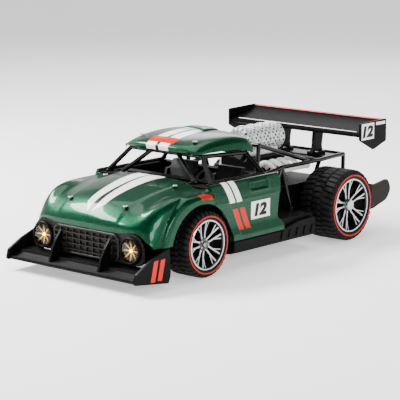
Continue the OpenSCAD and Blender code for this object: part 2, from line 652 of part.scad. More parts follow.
// Outer face of a door, as [x, z], from the window sill down to the side step.
door_face = [[42.8, 50.2], [44.6, 48.6], [46, 44.6], [46.4, 38.6], [45.8, 30], [46, 24], [47.6, 19.6],
    [47.8, 16.6]];
module door_section() polygon(concat(
    [for (p = door_face) [gx(p[0]), p[1]]],
    [for (i = [len(door_face) - 1 : -1 : 0]) [gx(door_face[i][0]) - door_t, door_face[i][1]]]));
module door() {
    difference() {
        intersection() {
            translate([0, door_y1 + 6, 0]) rotate([90, 0,
                0]) linear_extrude(door_y1 + 6 - door_y0) door_section();
            side_plate(30, 60) polygon([[door_y0, 60], [door_y0, 10], [door_y1 + 3, 10], [door_y1 + 3, 21],
                [door_y1 - 1, 24.6], [door_y1 + 2, 46], [door_y1 - 1, 60]]);
        }
        x_rod(30, 60, arch_y, arch_z, arch_r);
        slab(gx(46) - 0.9, 60, fa + 41.2, fa + 56.5, 43.6, 46.8);
    }
    // Bosses that reach in to the cockpit wall.
    for (y = [fa + 34, fa + 56]) x_rod(cockpit_half, gx(45.8) - door_t + 0.4, y, 31, 2);
    x_rod(cockpit_half, gx(46) - door_t + 0.3, fa + 56, 45.2, 1.2);
}
module left_door() color("#1d6b4b") door();
module right_door() color("#1d6b4b") mirror([1, 0, 0]) door();

function roofed(rows) = [for (p = rows) [gx(p[0]), fa + p[1], roof_z - p[2]]];
roof_guides = [
    roofed([[0, 12.8, 8], [0, 12.4, 5.2], [0, 17, 3], [0, 27, 1], [0, 38, 0], [0, 50, 0], [0, 58, 1],
        [0, 62, 2.8], [0, 64, 5.4]]),
    roofed([[14, 13.2, 8.1], [14, 12.9, 5.5], [14, 17.4, 3.4], [14, 27, 1.4], [14, 38, 0.4],
        [14, 50, 0.4], [14, 58, 1.4],
        [14, 62, 3.2], [14, 64, 5.8]]),
    roofed([[23, 14.2, 8.2], [23, 14.2, 6.4], [23, 18.4, 4.6], [23.4, 27, 2.9], [24, 38, 2],
        [24.6, 50, 2], [25, 58, 3],
        [25, 62, 4.6], [25, 63.8, 7]]),
    roofed([[26.4, 15.4, 8.4], [26.6, 15.8, 7.4], [27, 19, 6.8], [27.4, 27, 5.8], [28, 38, 5.2],
        [28.6, 50, 5.4], [29.2, 58, 6.4],
        [29.2, 61.6, 8], [29, 63.2, 9.6]]),
    roofed([[27, 16.4, 8.6], [27.2, 17, 8.7], [27.7, 20, 8.7], [28.2, 27, 8.7], [28.9, 38, 8.8],
        [29.5, 50, 9.4], [30, 58, 10.8],
        [30, 61, 11.6], [29.8, 62.4, 12.2]])];
roof_screw = [gx(20.5), fa + 22.1, roof_z - 2.4];
scoop_half = 9;

module roof_panel() color("#1d6b4b") {
    difference() {
        shell(roof_guides, 18, 14, shell_t);
        both() z_rod(roof_screw[0], roof_screw[1], 50, 80, 1);
    }
    // Low scoop over the rear of the roof.
    side_plate(-scoop_half, scoop_half) polygon([[fa + 42, roof_z - 0.4], [fa + 42, roof_z + 1.3],
        [fa + 44, roof_z + 1.7],
        [fa + 58, roof_z + 0.4], [fa + 59.4, roof_z - 1.6], [fa + 50, roof_z - 0.4]]);
}

module screw_down(p, depth) {
    z_rod(p[0], p[1], p[2], p[2] + 1, 2.2);
    z_rod(p[0], p[1], p[2] - depth, p[2], 0.8);
}
module body_screws() color("#1b1c1e") both() {
    screw_down(hood_screw, 8);
    screw_down(cowl_screw, 6);
    screw_down(roof_screw, 5.5);
}

// ---- Cockpit -------------------------------------------------------------

module cockpit_outline(inset) polygon([[cockpit_front + inset, rim_z + 1],
    [cockpit_front + inset, 43 + inset],
    [footwell_y + inset, 39.6 + inset], [footwell_y + inset, cockpit_floor + inset - cockpit_t],
    [cockpit_rear - inset, cockpit_floor + inset - cockpit_t], [cockpit_rear - inset, rim_z + 1]]);
module cockpit_tub() color("#141517") {
    difference() {
        union() {
            intersection() {
                side_plate(-cockpit_half, cockpit_half) cockpit_outline(0);
                slab(-60, 60, cockpit_front, cockpit_rear, 0, rim_z);
            }
            slab(-cockpit_half, cockpit_half, footwell_y, cockpit_rear, deck_z, cockpit_floor);
        }
        side_plate(-cockpit_half + 1.5, cockpit_half - 1.5) cockpit_outline(cockpit_t);
        slab(-cockpit_half + 1.5, cockpit_half - 1.5, footwell_y + 1.5, cockpit_rear - 1.5, 0,
            cockpit_floor - cockpit_t);
    }
    // Rim shelves that the cage stands on.
    slab(-cockpit_half + 1, cockpit_half - 1, cockpit_front + 1, cockpit_front + 8, rim_z - 1.5, rim_z);
    both() slab(cockpit_half - 5, cockpit_half - 1, cockpit_front + 1, cockpit_rear - 1, rim_z - 1.5,
        rim_z);
    slab(-cockpit_half + 1, cockpit_half - 1, cockpit_rear - 6, cockpit_rear - 1, rim_z - 1.5, rim_z);
    // Shelf and posts that carry the rear of the hood.
    both() difference() {
        union() {
            slab(cowl_screw[0] - 5, cowl_screw[0] + 4, cowl_screw[1] - 4, cockpit_front + 1, 43, 44.6);
            z_rod(cowl_screw[0], cowl_screw[1], 43, cowl_screw[2] - 3.5, 2.2);
        }
        z_rod(cowl_screw[0], cowl_screw[1], 42, cowl_screw[2], 0.8);
    }
}

module seat(x) translate([x, 0, 0]) {
    side_plate(-9, 9) polygon([[fa + 34, cockpit_floor], [fa + 34, cockpit_floor + 5],
        [fa + 48, cockpit_floor + 4],
        [fa + 53, rim_z - 1.4], [fa + 56, rim_z + 3.5], [fa + 59, rim_z + 3.5], [fa + 56, cockpit_floor]]);
    for (s = [-1, 1]) side_plate(s * 10 - 1, s * 10 + 1) polygon([[fa + 36, cockpit_floor],
        [fa + 37, cockpit_floor + 8],
        [fa + 47, cockpit_floor + 8], [fa + 51, rim_z - 2], [fa + 57, rim_z - 1],
            [fa + 55, cockpit_floor]]);
}
module seats() color("#22252b") both() seat(18);

module dashboard() color("#1a1c20") side_plate(-cockpit_half + 7, cockpit_half - 7)
    polygon([[fa + 18, rim_z], [fa + 17.2, rim_z + 1], [fa + 24, rim_z + 1], [fa + 29, rim_z - 4],
        [fa + 27.2, 36],
        [fa + 27.2, 41], [fa + 18, 45]]);

wheel_c = [18, fa + 33, rim_z - 2];
module steering_wheel() color("#101112") {
    translate(wheel_c) rotate([65, 0, 0]) {
        rotate_extrude($fn = 40) translate([6, 0]) circle(r = 0.8, $fn = 20);
        for (a = [90, 210, 330]) rotate(a) translate([0, -0.8, -0.5]) cube([6, 1.6, 1]);
        translate([0, 0, -0.8]) cylinder(r = 1.8, h = 1.6);
    }
    bar([18, wheel_c[1] - 3, wheel_c[2] - 1.4], wheel_c, 0.9);
}

// ---- Cage and rear frame -------------------------------------------------

pillar_top = [gx(27.4), fa + 20.5, roof_low_z - 1.5];
rear_top = [gx(28.4), fa + 57, roof_low_z - 3.4];
foot_z = rim_z + 0.8;
module cage_foot(x, y) z_rod(x, y, rim_z, rim_z + 1, tube_r + 1);
module roll_cage() color("#141416") {
    both() {
        tube_run([[cockpit_half - 3, fa + 14, foot_z + 0.6], pillar_top, rear_top,
            [cockpit_half - 3, cockpit_rear - 7, foot_z + 0.6]], tube_r);
        tube_run([[gx(27), fa + 13, foot_z + 0.6], [gx(10.5), fa + 19, roof_low_z - 1.5]], tube_r);
        cage_foot(cockpit_half - 3, fa + 14);
        cage_foot(gx(27), fa + 13);
        cage_foot(cockpit_half - 3, cockpit_rear - 7);
        tube_run([[cockpit_half - 3, fa + 14, foot_z + 0.6],
            [cockpit_half - 3, cockpit_rear - 7, foot_z + 0.6]], tube_r * 0.8);
        // Bosses under the roof screws and pads that carry the roof's rear.
        difference() {
            z_rod(roof_screw[0], roof_screw[1] - 1.2, pillar_top[2] - 1, roof_screw[2] - 3.6, 1.9);
            z_rod(roof_screw[0], roof_screw[1], pillar_top[2], roof_screw[2], 0.8);
        }
        // Gusset at the rear corner of the side window.
        side_plate(rear_top[0] - 0.7, rear_top[0] + 0.7) polygon([[rear_top[1], rear_top[2]],
            [rear_top[1] - 11, rear_top[2] + 0.6],
            [rear_top[1] - 11, rear_top[2] - 1], [rear_top[1] - 2, rear_top[2] - 5.5],
                [rear_top[1], rear_top[2] - 5]]);
    }
    bar([-pillar_top[0], pillar_top[1], pillar_top[2]], pillar_top, tube_r);
    bar([-rear_top[0], rear_top[1], rear_top[2]], rear_top, tube_r);
}

deck_t = 1.4;
deck_top = deck_z + deck_t;
foot_h = 1;
module deck_cover() color("#1b1d20") difference() {
    slab(-tub_half_w, tub_half_w, cockpit_rear + 0.1, tub_rear_y, deck_z, deck_top);
    slab(-gearbox_half - seat_gap, gearbox_half + seat_gap, gearbox_front - seat_gap, tub_rear_y + 1,
        deck_z - 1, deck_top + 1);
}

frame_x = gearbox_half + 8;
stay_x = gearbox_half + 5;
side_node = [frame_x, ra - 43.6, frame_z + 1.2];
rail_mid = [gearbox_half + 4, ra - 2, frame_z];
rail_end = [gearbox_half + 1.5, frame_rear_y, frame_z];
bumper_z = 20;
bumper_t = 2;
module rear_frame() color("#161618") {
    both() {
        tube_run([[frame_x, cockpit_rear + tube_r, rim_z - 3], side_node, rail_mid, rail_end,
            [gearbox_half, ra + 27, bumper_z + bumper_t + tube_r * 1.02]], tube_r);
        tube_run([[stay_x, cockpit_rear + tube_r + 2.4, roof_low_z - 1],
            [gearbox_half + 2, ra - 10, frame_z]], tube_r);
        for (y = [ra - 57, ra - 35.6]) {
            tube_run([side_node, [frame_x, y, deck_top + foot_h + tube_r]], tube_r);
            z_rod(frame_x, y, deck_top, deck_top + foot_h + tube_r, tube_r + 1);
        }
        tube_run([rail_mid, [gearbox_half - 3, ra + 2, rear_z + gearbox_h + tube_r]], tube_r);
        z_rod(gearbox_half - 3, ra + 2, rear_z + gearbox_h, rear_z + gearbox_h + 1, 2.6);
        tube_run([[stay_x, cockpit_rear + tube_r + 2.4, roof_low_z - 1],
            [stay_x, cockpit_rear + tube_r + 1, rim_z - 2]], tube_r);
    }
    bar([-rail_mid[0], rail_mid[1], rail_mid[2]], rail_mid, tube_r);
    bar([-rail_end[0], rail_end[1], rail_end[2]], rail_end, tube_r);
    bar([-stay_x, cockpit_rear + tube_r + 2.4, roof_low_z - 1],
        [stay_x, cockpit_rear + tube_r + 2.4, roof_low_z - 1], tube_r);
    // Deck that carries the wing struts.
    slab(-gearbox_half - 3, gearbox_half + 3, ra + 6, ra + 18, frame_z - 0.9, frame_z + 0.9);
}

// ---- Engine --------------------------------------------------------------

module engine_block() color("#2c2e31") {
    slab(-12, 12, block_y0, block_y1, block_z0, block_z1);
    slab(-9, 9, block_y0, gearbox_front - 0.6, deck_top, block_z0);
    both() for (k = [0 : 3]) slab(12, 13.4, block_y0 + 3 + k * 7.4, block_y0 + 7 + k * 7.4, 40, 50);
}

drum_y0 = block_y0 + 1;
drum_y1 = block_y1 + 5;
module engine_blower() color("#c6c9cc") difference() {
    union() {
        y_rod(0, drum_y0, drum_y1, blower_z, blower_r);
        slab(-7, 7, drum_y0 + 2, drum_y1 - 6, block_z1, blower_z);
        for (k = [0 : 5]) y_rod(0, drum_y0 + 2 + k * 6, drum_y0 + 3 + k * 6, blower_z, blower_r + 0.7);
    }
    for (k = [0 : 4]) for (a = [-60, -20, 20, 60])
        translate([0, drum_y0 + 6 + k * 6, blower_z]) rotate([0, a, 0]) translate([0, 0,
            blower_r - 1.6]) cylinder(r = 1.5, h = 4, $fn = 16);
    y_rod(0, drum_y1 - 3, drum_y1 + 1, blower_z, blower_r - 2);
}

module exhaust_headers() color("#dcdcda") both() {
    for (k = [0 : 3]) {
        y = block_y0 + 5 + k * 7.4;
        tube_run([[15, y, 48], [17.6, y + 1, 50.2], [19.6, y + 4, 48], [20, y + 8, 44.4]], 1.5);
    }
    y_rod(20, block_y0 + 10, block_y1 + 12, 44.4, 2);
}

// ---- Wing and rear -------------------------------------------------------

// Cambered blade: t runs from the leading to the trailing edge.
function wing_mid(t) = [wing_le + wing_chord * t, wing_z + 1.2 + 7 * pow(t, 1.7)];
function wing_half_t(t) = 0.6 + 1.5 * sin(180 * pow(t, 0.6)) * (1 - 0.4 * t);
module wing_outline() {
    steps = 14;
    polygon(concat(
        [for (i = [0 : steps]) wing_mid(i / steps) + [0, wing_half_t(i / steps)]],
        [for (i = [steps : -1 : 0]) wing_mid(i / steps) - [0, wing_half_t(i / steps)]]));
}
module wing_plane() color("#1a1a1c") {
    side_plate(-wing_half, wing_half) wing_outline();
    // Upturned lip along the trailing edge.
    side_plate(-wing_half, wing_half) polygon([[wing_le + wing_chord - 2, wing_z + 7],
        [wing_le + wing_chord - 1.2, wing_z + 8.9],
        [wing_le + wing_chord, wing_z + 8.9], [wing_le + wing_chord, wing_z + 7]]);
}

module wing_endplates() color("#1a1a1c") both() side_plate(wing_half, wing_half + endplate_t)
    polygon([[ra + 3.9, wing_z + 8.7], [ra + 30.6, wing_z + 9.3], [ra + 30.8, wing_z - 4.3],
        [ra + 17.7, wing_z - 8.6],
        [ra + 3.9, wing_z - 1.6]]);

strut_x = 12.6;
module wing_struts() color("#1f2023") both() {
    side_plate(strut_x - 1.1, strut_x + 1.1) polygon([[ra + 6.4, frame_z + 0.9], [ra + 9.5, frame_z + 6],
        [ra + 10.4, wing_mid(0.2)[1] - wing_half_t(0.2) - 0.15],
        [ra + 17.6, wing_mid(0.48)[1] - wing_half_t(0.48) - 0.15], [ra + 15, frame_z + 6],
            [ra + 17.4, frame_z + 0.9]]);
    slab(strut_x - 4, strut_x + 4, ra + 7, ra + 17, frame_z + 0.9, frame_z + 2.4);
    z_rod(strut_x - 2.6, ra + 9, frame_z + 2.4, frame_z + 3, 0.9);
    z_rod(strut_x + 2.6, ra + 9, frame_z + 2.4, frame_z + 3, 0.9);
}

plate_x = car_half_w - 3;
module rear_bumper() color("#3a3733") {
    both() side_plate(plate_x - 1.6, plate_x) polygon([[ra + 23.4, 30.2], [ra + 40.6, 32.7],
        [ra + rear_overhang, 25.9],
        [ra + 40, 19.8], [ra + 23.4, 15.2]]);
    slab(-plate_x + 1.6, plate_x - 1.6, ra + 24, ra + 37, bumper_z, bumper_z + bumper_t);
    slab(-9, 9, gearbox_rear, ra + 24, bumper_z - 3, bumper_z + bumper_t);
    side_plate(-plate_x + 1.6, plate_x - 1.6) polygon([[ra + 35, bumper_z], [ra + 37, bumper_z],
        [ra + 40, 28], [ra + 38.4, 28]]);
    for (k = [-2 : 2]) side_plate(k * 12 - 0.8, k * 12 + 0.8) polygon([[ra + 24, bumper_z],
        [ra + 37, bumper_z], [ra + 37, 13], [ra + 30, 14]]);
}

chassis_tub();
battery_cover();
battery_cell();
battery_contacts();
circuit_board();
chassis_screws();
switch_housing();
switch_knob();
front_splitter();
front_grille();
headlight_bezels();
headlight_lenses();
headlight_leds();
front_axle_carrier();
front_upper_plate();
kingpins();
steering_servo();
servo_horn();
steering_rack();
left_knuckle();
right_knuckle();
front_left_tyre();
front_left_rim();
front_left_screw();
front_right_tyre();
front_right_rim();
front_right_screw();
gearbox_lower();
gearbox_upper();
drive_motor();
motor_pinion();
gear_shaft();
compound_gear();
rear_axle();
axle_gear();
axle_bushes();
rear_left_tyre();
rear_left_rim();
rear_right_tyre();
rear_right_rim();
rear_wheel_nuts();
body_front();
left_door();
right_door();
roof_panel();
body_screws();
roll_cage();
cockpit_tub();
seats();
dashboard();
steering_wheel();
rear_frame();
engine_block();
engine_blower();
exhaust_headers();
wing_struts();
wing_plane();
wing_endplates();
rear_bumper();
deck_cover();
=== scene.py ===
import json
import math

import bmesh
import bpy
import numpy as np
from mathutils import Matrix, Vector


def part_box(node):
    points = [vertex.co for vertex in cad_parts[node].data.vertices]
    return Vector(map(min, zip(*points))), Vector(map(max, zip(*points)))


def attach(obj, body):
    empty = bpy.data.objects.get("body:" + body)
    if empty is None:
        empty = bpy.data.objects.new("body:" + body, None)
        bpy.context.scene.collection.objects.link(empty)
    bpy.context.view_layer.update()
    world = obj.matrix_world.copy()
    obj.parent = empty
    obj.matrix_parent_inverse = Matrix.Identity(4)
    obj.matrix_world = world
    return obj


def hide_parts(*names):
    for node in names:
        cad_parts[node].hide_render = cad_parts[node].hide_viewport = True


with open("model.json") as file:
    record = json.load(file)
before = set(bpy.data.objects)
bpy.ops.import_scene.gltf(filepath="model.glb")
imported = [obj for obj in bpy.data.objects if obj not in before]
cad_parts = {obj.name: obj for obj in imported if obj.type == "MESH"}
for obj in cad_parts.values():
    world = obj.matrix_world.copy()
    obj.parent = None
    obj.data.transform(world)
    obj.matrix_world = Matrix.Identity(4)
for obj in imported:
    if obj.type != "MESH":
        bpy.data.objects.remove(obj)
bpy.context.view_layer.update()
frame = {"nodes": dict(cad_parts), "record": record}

nodes = frame["nodes"]

# ---- Studio --------------------------------------------------------------
# The car stands on a pale seamless paper sweep under four softboxes: one
# overhead, one before the nose, whose image lies on the shell's front edge,
# and weaker ones at the side and the rear.


def srgb(hex_value):
    """Linear colour of an sRGB hex value: the usual power curve above a short straight foot."""
    channels = np.array([int(hex_value[k:k + 2], 16) for k in (1, 3, 5)]) / 255
    linear = np.where(channels <= 0.04045, channels / 12.92, ((channels + 0.055) / 1.055) ** 2.4)
    return (*linear.tolist(), 1.0)


def add(tree, kind, inputs=(), **settings):
    """Adds one node: settings are its properties, inputs its sockets, by name or in their order.

    An input is a plain value, a socket to link, or a node, which gives its first live output.
    """
    node = tree.nodes.new("ShaderNode" + kind)
    for key, value in settings.items():
        setattr(node, key, value)
    for key, value in inputs.items() if isinstance(inputs, dict) else enumerate(inputs):
        if isinstance(value, bpy.types.Node):
            value = next(out for out in value.outputs if out.enabled)
        if isinstance(value, bpy.types.NodeSocket):
            tree.links.new(value, node.inputs[key])
        else:
            node.inputs[key].default_value = value
    return node


def finish(name, colour, rough, metal=0.0, **sockets):
    """A new material of one surface: its shader, with the colour, the roughness and any other sockets set."""
    made = bpy.data.materials.new(name)
    made.use_nodes = True
    shader = made.node_tree.nodes["Principled BSDF"]
    shader.inputs["Base Color"].default_value = srgb(colour)
    shader.inputs["Roughness"].default_value = rough
    shader.inputs["Metallic"].default_value = metal
    for key, value in sockets.items():
        shader.inputs[key.replace("_", " ")].default_value = value
    return made


def grain(made, size_mm, depth_mm, rough_low, rough_high, detail=3.0):
    """Fine surface on a finish: noise of that size moves the roughness between two values and lifts a bump."""
    tree = made.node_tree
    shader = tree.nodes["Principled BSDF"]
    place = add(tree, "TexCoord")
    noise = add(tree, "TexNoise", {"Vector": place.outputs["Object"], "Scale": 1000 / size_mm,
                                   "Detail": detail})
    spread = add(tree, "MapRange", {"Value": noise.outputs["Fac"], "From Min": 0.3, "From Max": 0.7,
                                    "To Min": rough_low, "To Max": rough_high})
    bump = add(tree, "Bump", {"Height": noise.outputs["Fac"], "Strength": 0.6, "Distance": depth_mm / 1000})
    tree.links.new(spread.outputs["Result"], shader.inputs["Roughness"])
    tree.links.new(bump.outputs["Normal"], shader.inputs["Normal"])
    return made


def softbox(name, place, aim, size, power, colour="#ffffff"):
    """A rectangular lamp at place that faces the point aim."""
    lamp = bpy.data.lights.new(name, "AREA")
    lamp.shape = "RECTANGLE"
    lamp.size, lamp.size_y = size
    lamp.energy = power
    lamp.color = srgb(colour)[:3]
    thing = bpy.data.objects.new(name, lamp)
    thing.location = place
    thing.rotation_euler = (Vector(aim) - Vector(place)).to_track_quat("-Z", "Y").to_euler()
    bpy.context.scene.collection.objects.link(thing)


camera_data = bpy.data.cameras.new("camera")
camera_data.lens = 162
camera = bpy.data.objects.new("camera", camera_data)
look_at = Vector((0.001, -0.010, 0.031))
azimuth = math.radians(41.3)
elevation = math.radians(10.8)
reach = 1.057
camera.location = look_at + reach * Vector((
    math.sin(azimuth) * math.cos(elevation), -math.cos(azimuth) * math.cos(elevation), math.sin(elevation)))
camera.rotation_euler = (look_at - camera.location).to_track_quat("-Z", "Y").to_euler()
bpy.context.scene.collection.objects.link(camera)
bpy.context.scene.camera = camera

# The sweep is a shallow bowl: flat for 1.5 m round the car, then curving up to a wall on every side.
reach_out = np.array([0.0, 0.5, 1.0, 1.5, 1.8, 2.05, 2.25, 2.38, 2.45, 2.48])
rise_up = np.array([0.0, 0.0, 0.0, 0.0, 0.05, 0.16, 0.34, 0.6, 0.9, 1.3])
turns, rings = 72, len(reach_out)
round_car = np.linspace(0, 2 * math.pi, turns, endpoint=False)[:, None]
floor_points = np.stack([reach_out * np.cos(round_car), reach_out * np.sin(round_car),
                         rise_up + 0 * round_car], -1)
here, c = np.meshgrid(np.arange(turns) * rings, np.arange(1, rings - 1), indexing="ij")
beside = (here + rings) % (turns * rings)
floor_faces = np.stack([here + c, here + c + 1, beside + c + 1, beside + c], -1).reshape(-1, 4).tolist()
# One flat face closes the middle, where the first ring is a point.
floor_faces.append(list(range(1, turns * rings, rings)))
floor_mesh = bpy.data.meshes.new("floor")
floor_mesh.from_pydata(floor_points.reshape(-1, 3).tolist(), [], floor_faces)
floor_mesh.shade_smooth()
floor = bpy.data.objects.new("floor", floor_mesh)
bpy.context.scene.collection.objects.link(floor)
# Uncoated paper: evenly white with no gloss. A little light of its own stands for the lit room round it.
paper = finish("matt white paper sweep", "#fbfbfa", 0.8, Emission_Color=srgb("#ffffff"),
               Emission_Strength=0.55)
floor_mesh.materials.append(grain(paper, 4.0, 0.01, 0.75, 0.9))

world = bpy.data.worlds.new("studio")
world.use_nodes = True
world.node_tree.nodes["Background"].inputs["Color"].default_value = srgb("#fdfdff")
world.node_tree.nodes["Background"].inputs["Strength"].default_value = 0.12
bpy.context.scene.world = world
softbox("overhead softbox", (-0.1, 0.1, 0.85), (0, 0, 0.03), (0.7, 0.9), 7)
softbox("nose softbox", (-0.49, -0.23, 0.56), (0, -0.1, 0.03), (0.5, 0.15), 16)
softbox("side softbox", (0.95, -0.2, 0.4), (0, 0.02, 0.03), (0.45, 0.2), 5)
softbox("rear softbox", (-0.5, 0.8, 0.5), (0, 0.05, 0.04), (0.5, 0.3), 2.5)

# ---- Chassis, steering and drive -----------------------------------------
# The tub, gearbox and steering parts are mouldings with small rounded edges,
# screwed together. Gears are nylon, shafts steel, bushes sintered bronze.

mm = 0.001
# Satin moulded ABS: a soft grey sheen along edges, dull and nearly black elsewhere.
satin_black = grain(finish("satin black moulded plastic", "#060606", 0.46, Specular_IOR_Level=0.07), 0.7,
                    0.02, 0.34, 0.5)
# The body that each node belongs to, as its record names it.
home = {n: b for b, names in frame["record"]["behaviour"]["bodies"].items() for n in names}


def softened(names, made, width):
    """Each node's own solid: its triangles joined into whole faces, its edges rounded off by a width in mm."""
    for name in names:
        work = bmesh.new()
        work.from_mesh(nodes[name].data)
        bmesh.ops.remove_doubles(work, verts=work.verts, dist=1e-6)
        bmesh.ops.dissolve_limit(work, angle_limit=math.radians(0.6), verts=work.verts, edges=work.edges)
        mesh = bpy.data.meshes.new(name + "_moulding")
        work.to_mesh(mesh)
        work.free()
        mesh.materials.append(made)
        mesh.shade_smooth()
        mesh.set_sharp_from_angle(angle=math.radians(32))
        thing = bpy.data.objects.new(name + "_moulding", mesh)
        bpy.context.scene.collection.objects.link(thing)
        rounding = thing.modifiers.new("moulded edges", "BEVEL")
        rounding.width = width * mm
        rounding.segments = 2
        rounding.limit_method = "ANGLE"
        rounding.angle_limit = math.radians(40)
        rounding.harden_normals = True
        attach(thing, home[name])
        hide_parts(name)


softened(["chassis_tub", "battery_cover", "front_axle_carrier", "front_upper_plate", "gearbox_lower",
          "gearbox_upper", "deck_cover", "switch_housing"], satin_black, 0.3)
softened(["left_knuckle", "right_knuckle", "steering_rack", "steering_servo"], satin_black, 0.15)
# Natural polyamide: creamy and slightly see-through at the teeth.
nylon = grain(finish("natural nylon", "#e9e2cf", 0.42, 0.0, Subsurface_Weight=0.15, Subsurface_Scale=0.001),
              1.2, 0.008, 0.36, 0.5)
# Turned bright steel: sharp light lines along each shaft.
shaft_steel = grain(finish("turned shaft steel", "#b9bcc0", 0.3, 1.0), 0.5, 0.004, 0.22, 0.36)
# Sintered bronze: a porous, dull brown metal.
bronze = grain(finish("sintered bronze", "#a9793a", 0.5, 1.0), 0.3, 0.02, 0.42, 0.6)
# PVC shrink sleeve: smooth and evenly blue, with a soft shine.
sleeve = grain(finish("blue shrink sleeve", "#2c67a8", 0.3), 3.0, 0.01, 0.24, 0.36)
# Solder resist on glass laminate: glossy green with paler lines over the tracks.
board = finish("green solder resist", "#1c6a3e", 0.35)
tree = board.node_tree
place = add(tree, "TexCoord")
# The copper tracks under the resist lie 1.1 mm apart.
tracks = add(tree, "TexBrick", {"Vector": place.outputs["Object"], "Scale": 1.0, "Brick Width": 0.0031,
                                "Row Height": 0.0011, "Mortar Size": 0.00016, "Color1": srgb("#185c36"),
                                "Color2": srgb("#1c6a3e"), "Mortar": srgb("#3d8a5a")})
tree.links.new(tracks.outputs["Color"], tree.nodes["Principled BSDF"].inputs["Base Color"])
# These pieces keep their own solids and only take a finish.
for made, names in ((nylon, ["servo_horn", "motor_pinion", "compound_gear", "axle_gear", "switch_knob"]),
                    (shaft_steel, ["kingpins", "gear_shaft", "rear_axle", "drive_motor", "battery_contacts",
                                   "chassis_screws", "rear_wheel_nuts"]), (bronze, ["axle_bushes"]),
                    (sleeve, ["battery_cell"]), (board, ["circuit_board"])):
    for name in names:
        nodes[name].data.materials.clear()
        nodes[name].data.materials.append(made)

# ---- Tyres ---------------------------------------------------------------
# Soft rubber, moulded with blocks in a chevron and grooves round the tread.
# A red band is printed on the outer wall of each.

front_low, front_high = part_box("front_left_tyre")
rear_low, rear_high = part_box("rear_left_tyre")
front_axle = np.array([0, (front_low.y + front_high.y) / 2, (front_low.z + front_high.z) / 2]) / mm
rear_axle = np.array([0, (rear_low.y + rear_high.y) / 2, (rear_low.z + rear_high.z) / 2]) / mm
fa, ra = front_axle[1], rear_axle[1]
wheel_face = front_high.x / mm
# Radii in mm on which the tyres sit on their rims.
front_rim, rear_rim = 14.2, 16.3


def grid_faces(rows, cols, close_rows=False, close_cols=False, start=0):
    """Four-cornered faces of a grid of points; a closed way joins its last line to its first."""
    r = np.arange(rows if close_rows else rows - 1)
    c = np.arange(cols if close_cols else cols - 1)
    r, c = np.meshgrid(r, c, indexing="ij")
    r1, c1 = (r + 1) % rows, (c + 1) % cols
    corners = np.stack([r * cols + c, r * cols + c1, r1 * cols + c1, r1 * cols + c], -1)
    return (start + corners).reshape(-1, 4).tolist()


def piece(name, parts, finishes, body, replaced=(), bevel=0.0, crease=38):
    """One object in metres from parts in mm, each (points, faces, number of its finish), riding on a body."""
    points, faces, which, start = [], [], [], 0
    for part in parts:
        verts, part_faces = np.asarray(part[0], float).reshape(-1, 3), part[1]
        points.append(verts)
        faces += [[v + start for v in f] for f in part_faces]
        numbers = part[2] if len(part) > 2 else 0
        which += list(numbers) if hasattr(numbers, "__len__") else [numbers] * len(part_faces)
        start += len(verts)
    mesh = bpy.data.meshes.new(name)
    mesh.from_pydata((np.concatenate(points) * mm).tolist(), [], faces)
    for made in finishes:
        mesh.materials.append(made)
    mesh.polygons.foreach_set("material_index", np.array(which, np.int32))
    work = bmesh.new()
    work.from_mesh(mesh)
    bmesh.ops.recalc_face_normals(work, faces=work.faces)
    work.to_mesh(mesh)
    work.free()
    mesh.shade_smooth()
    mesh.set_sharp_from_angle(angle=math.radians(crease))
    thing = bpy.data.objects.new(name, mesh)
    bpy.context.scene.collection.objects.link(thing)
    if bevel:
        rounding = thing.modifiers.new("edge rounding", "BEVEL")
        rounding.width = bevel * mm
        rounding.segments = 2
        rounding.limit_method = "ANGLE"
        rounding.angle_limit = math.radians(30)
        rounding.harden_normals = True
    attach(thing, body)
    if replaced:
        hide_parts(*replaced)
    return thing


# Cured rubber straight from the mould: a dry dark grey with no gloss.
rubber = grain(finish("black moulded rubber", "#0c0c0c", 0.72, Specular_IOR_Level=0.18), 0.5, 0.03, 0.62, 0.8)
# Printed rubber paint: a dry, slightly faded red.
red_rubber = grain(finish("red band on the tyre wall", "#ad2a20", 0.6, Specular_IOR_Level=0.1), 0.6, 0.01,
                   0.42, 0.55)


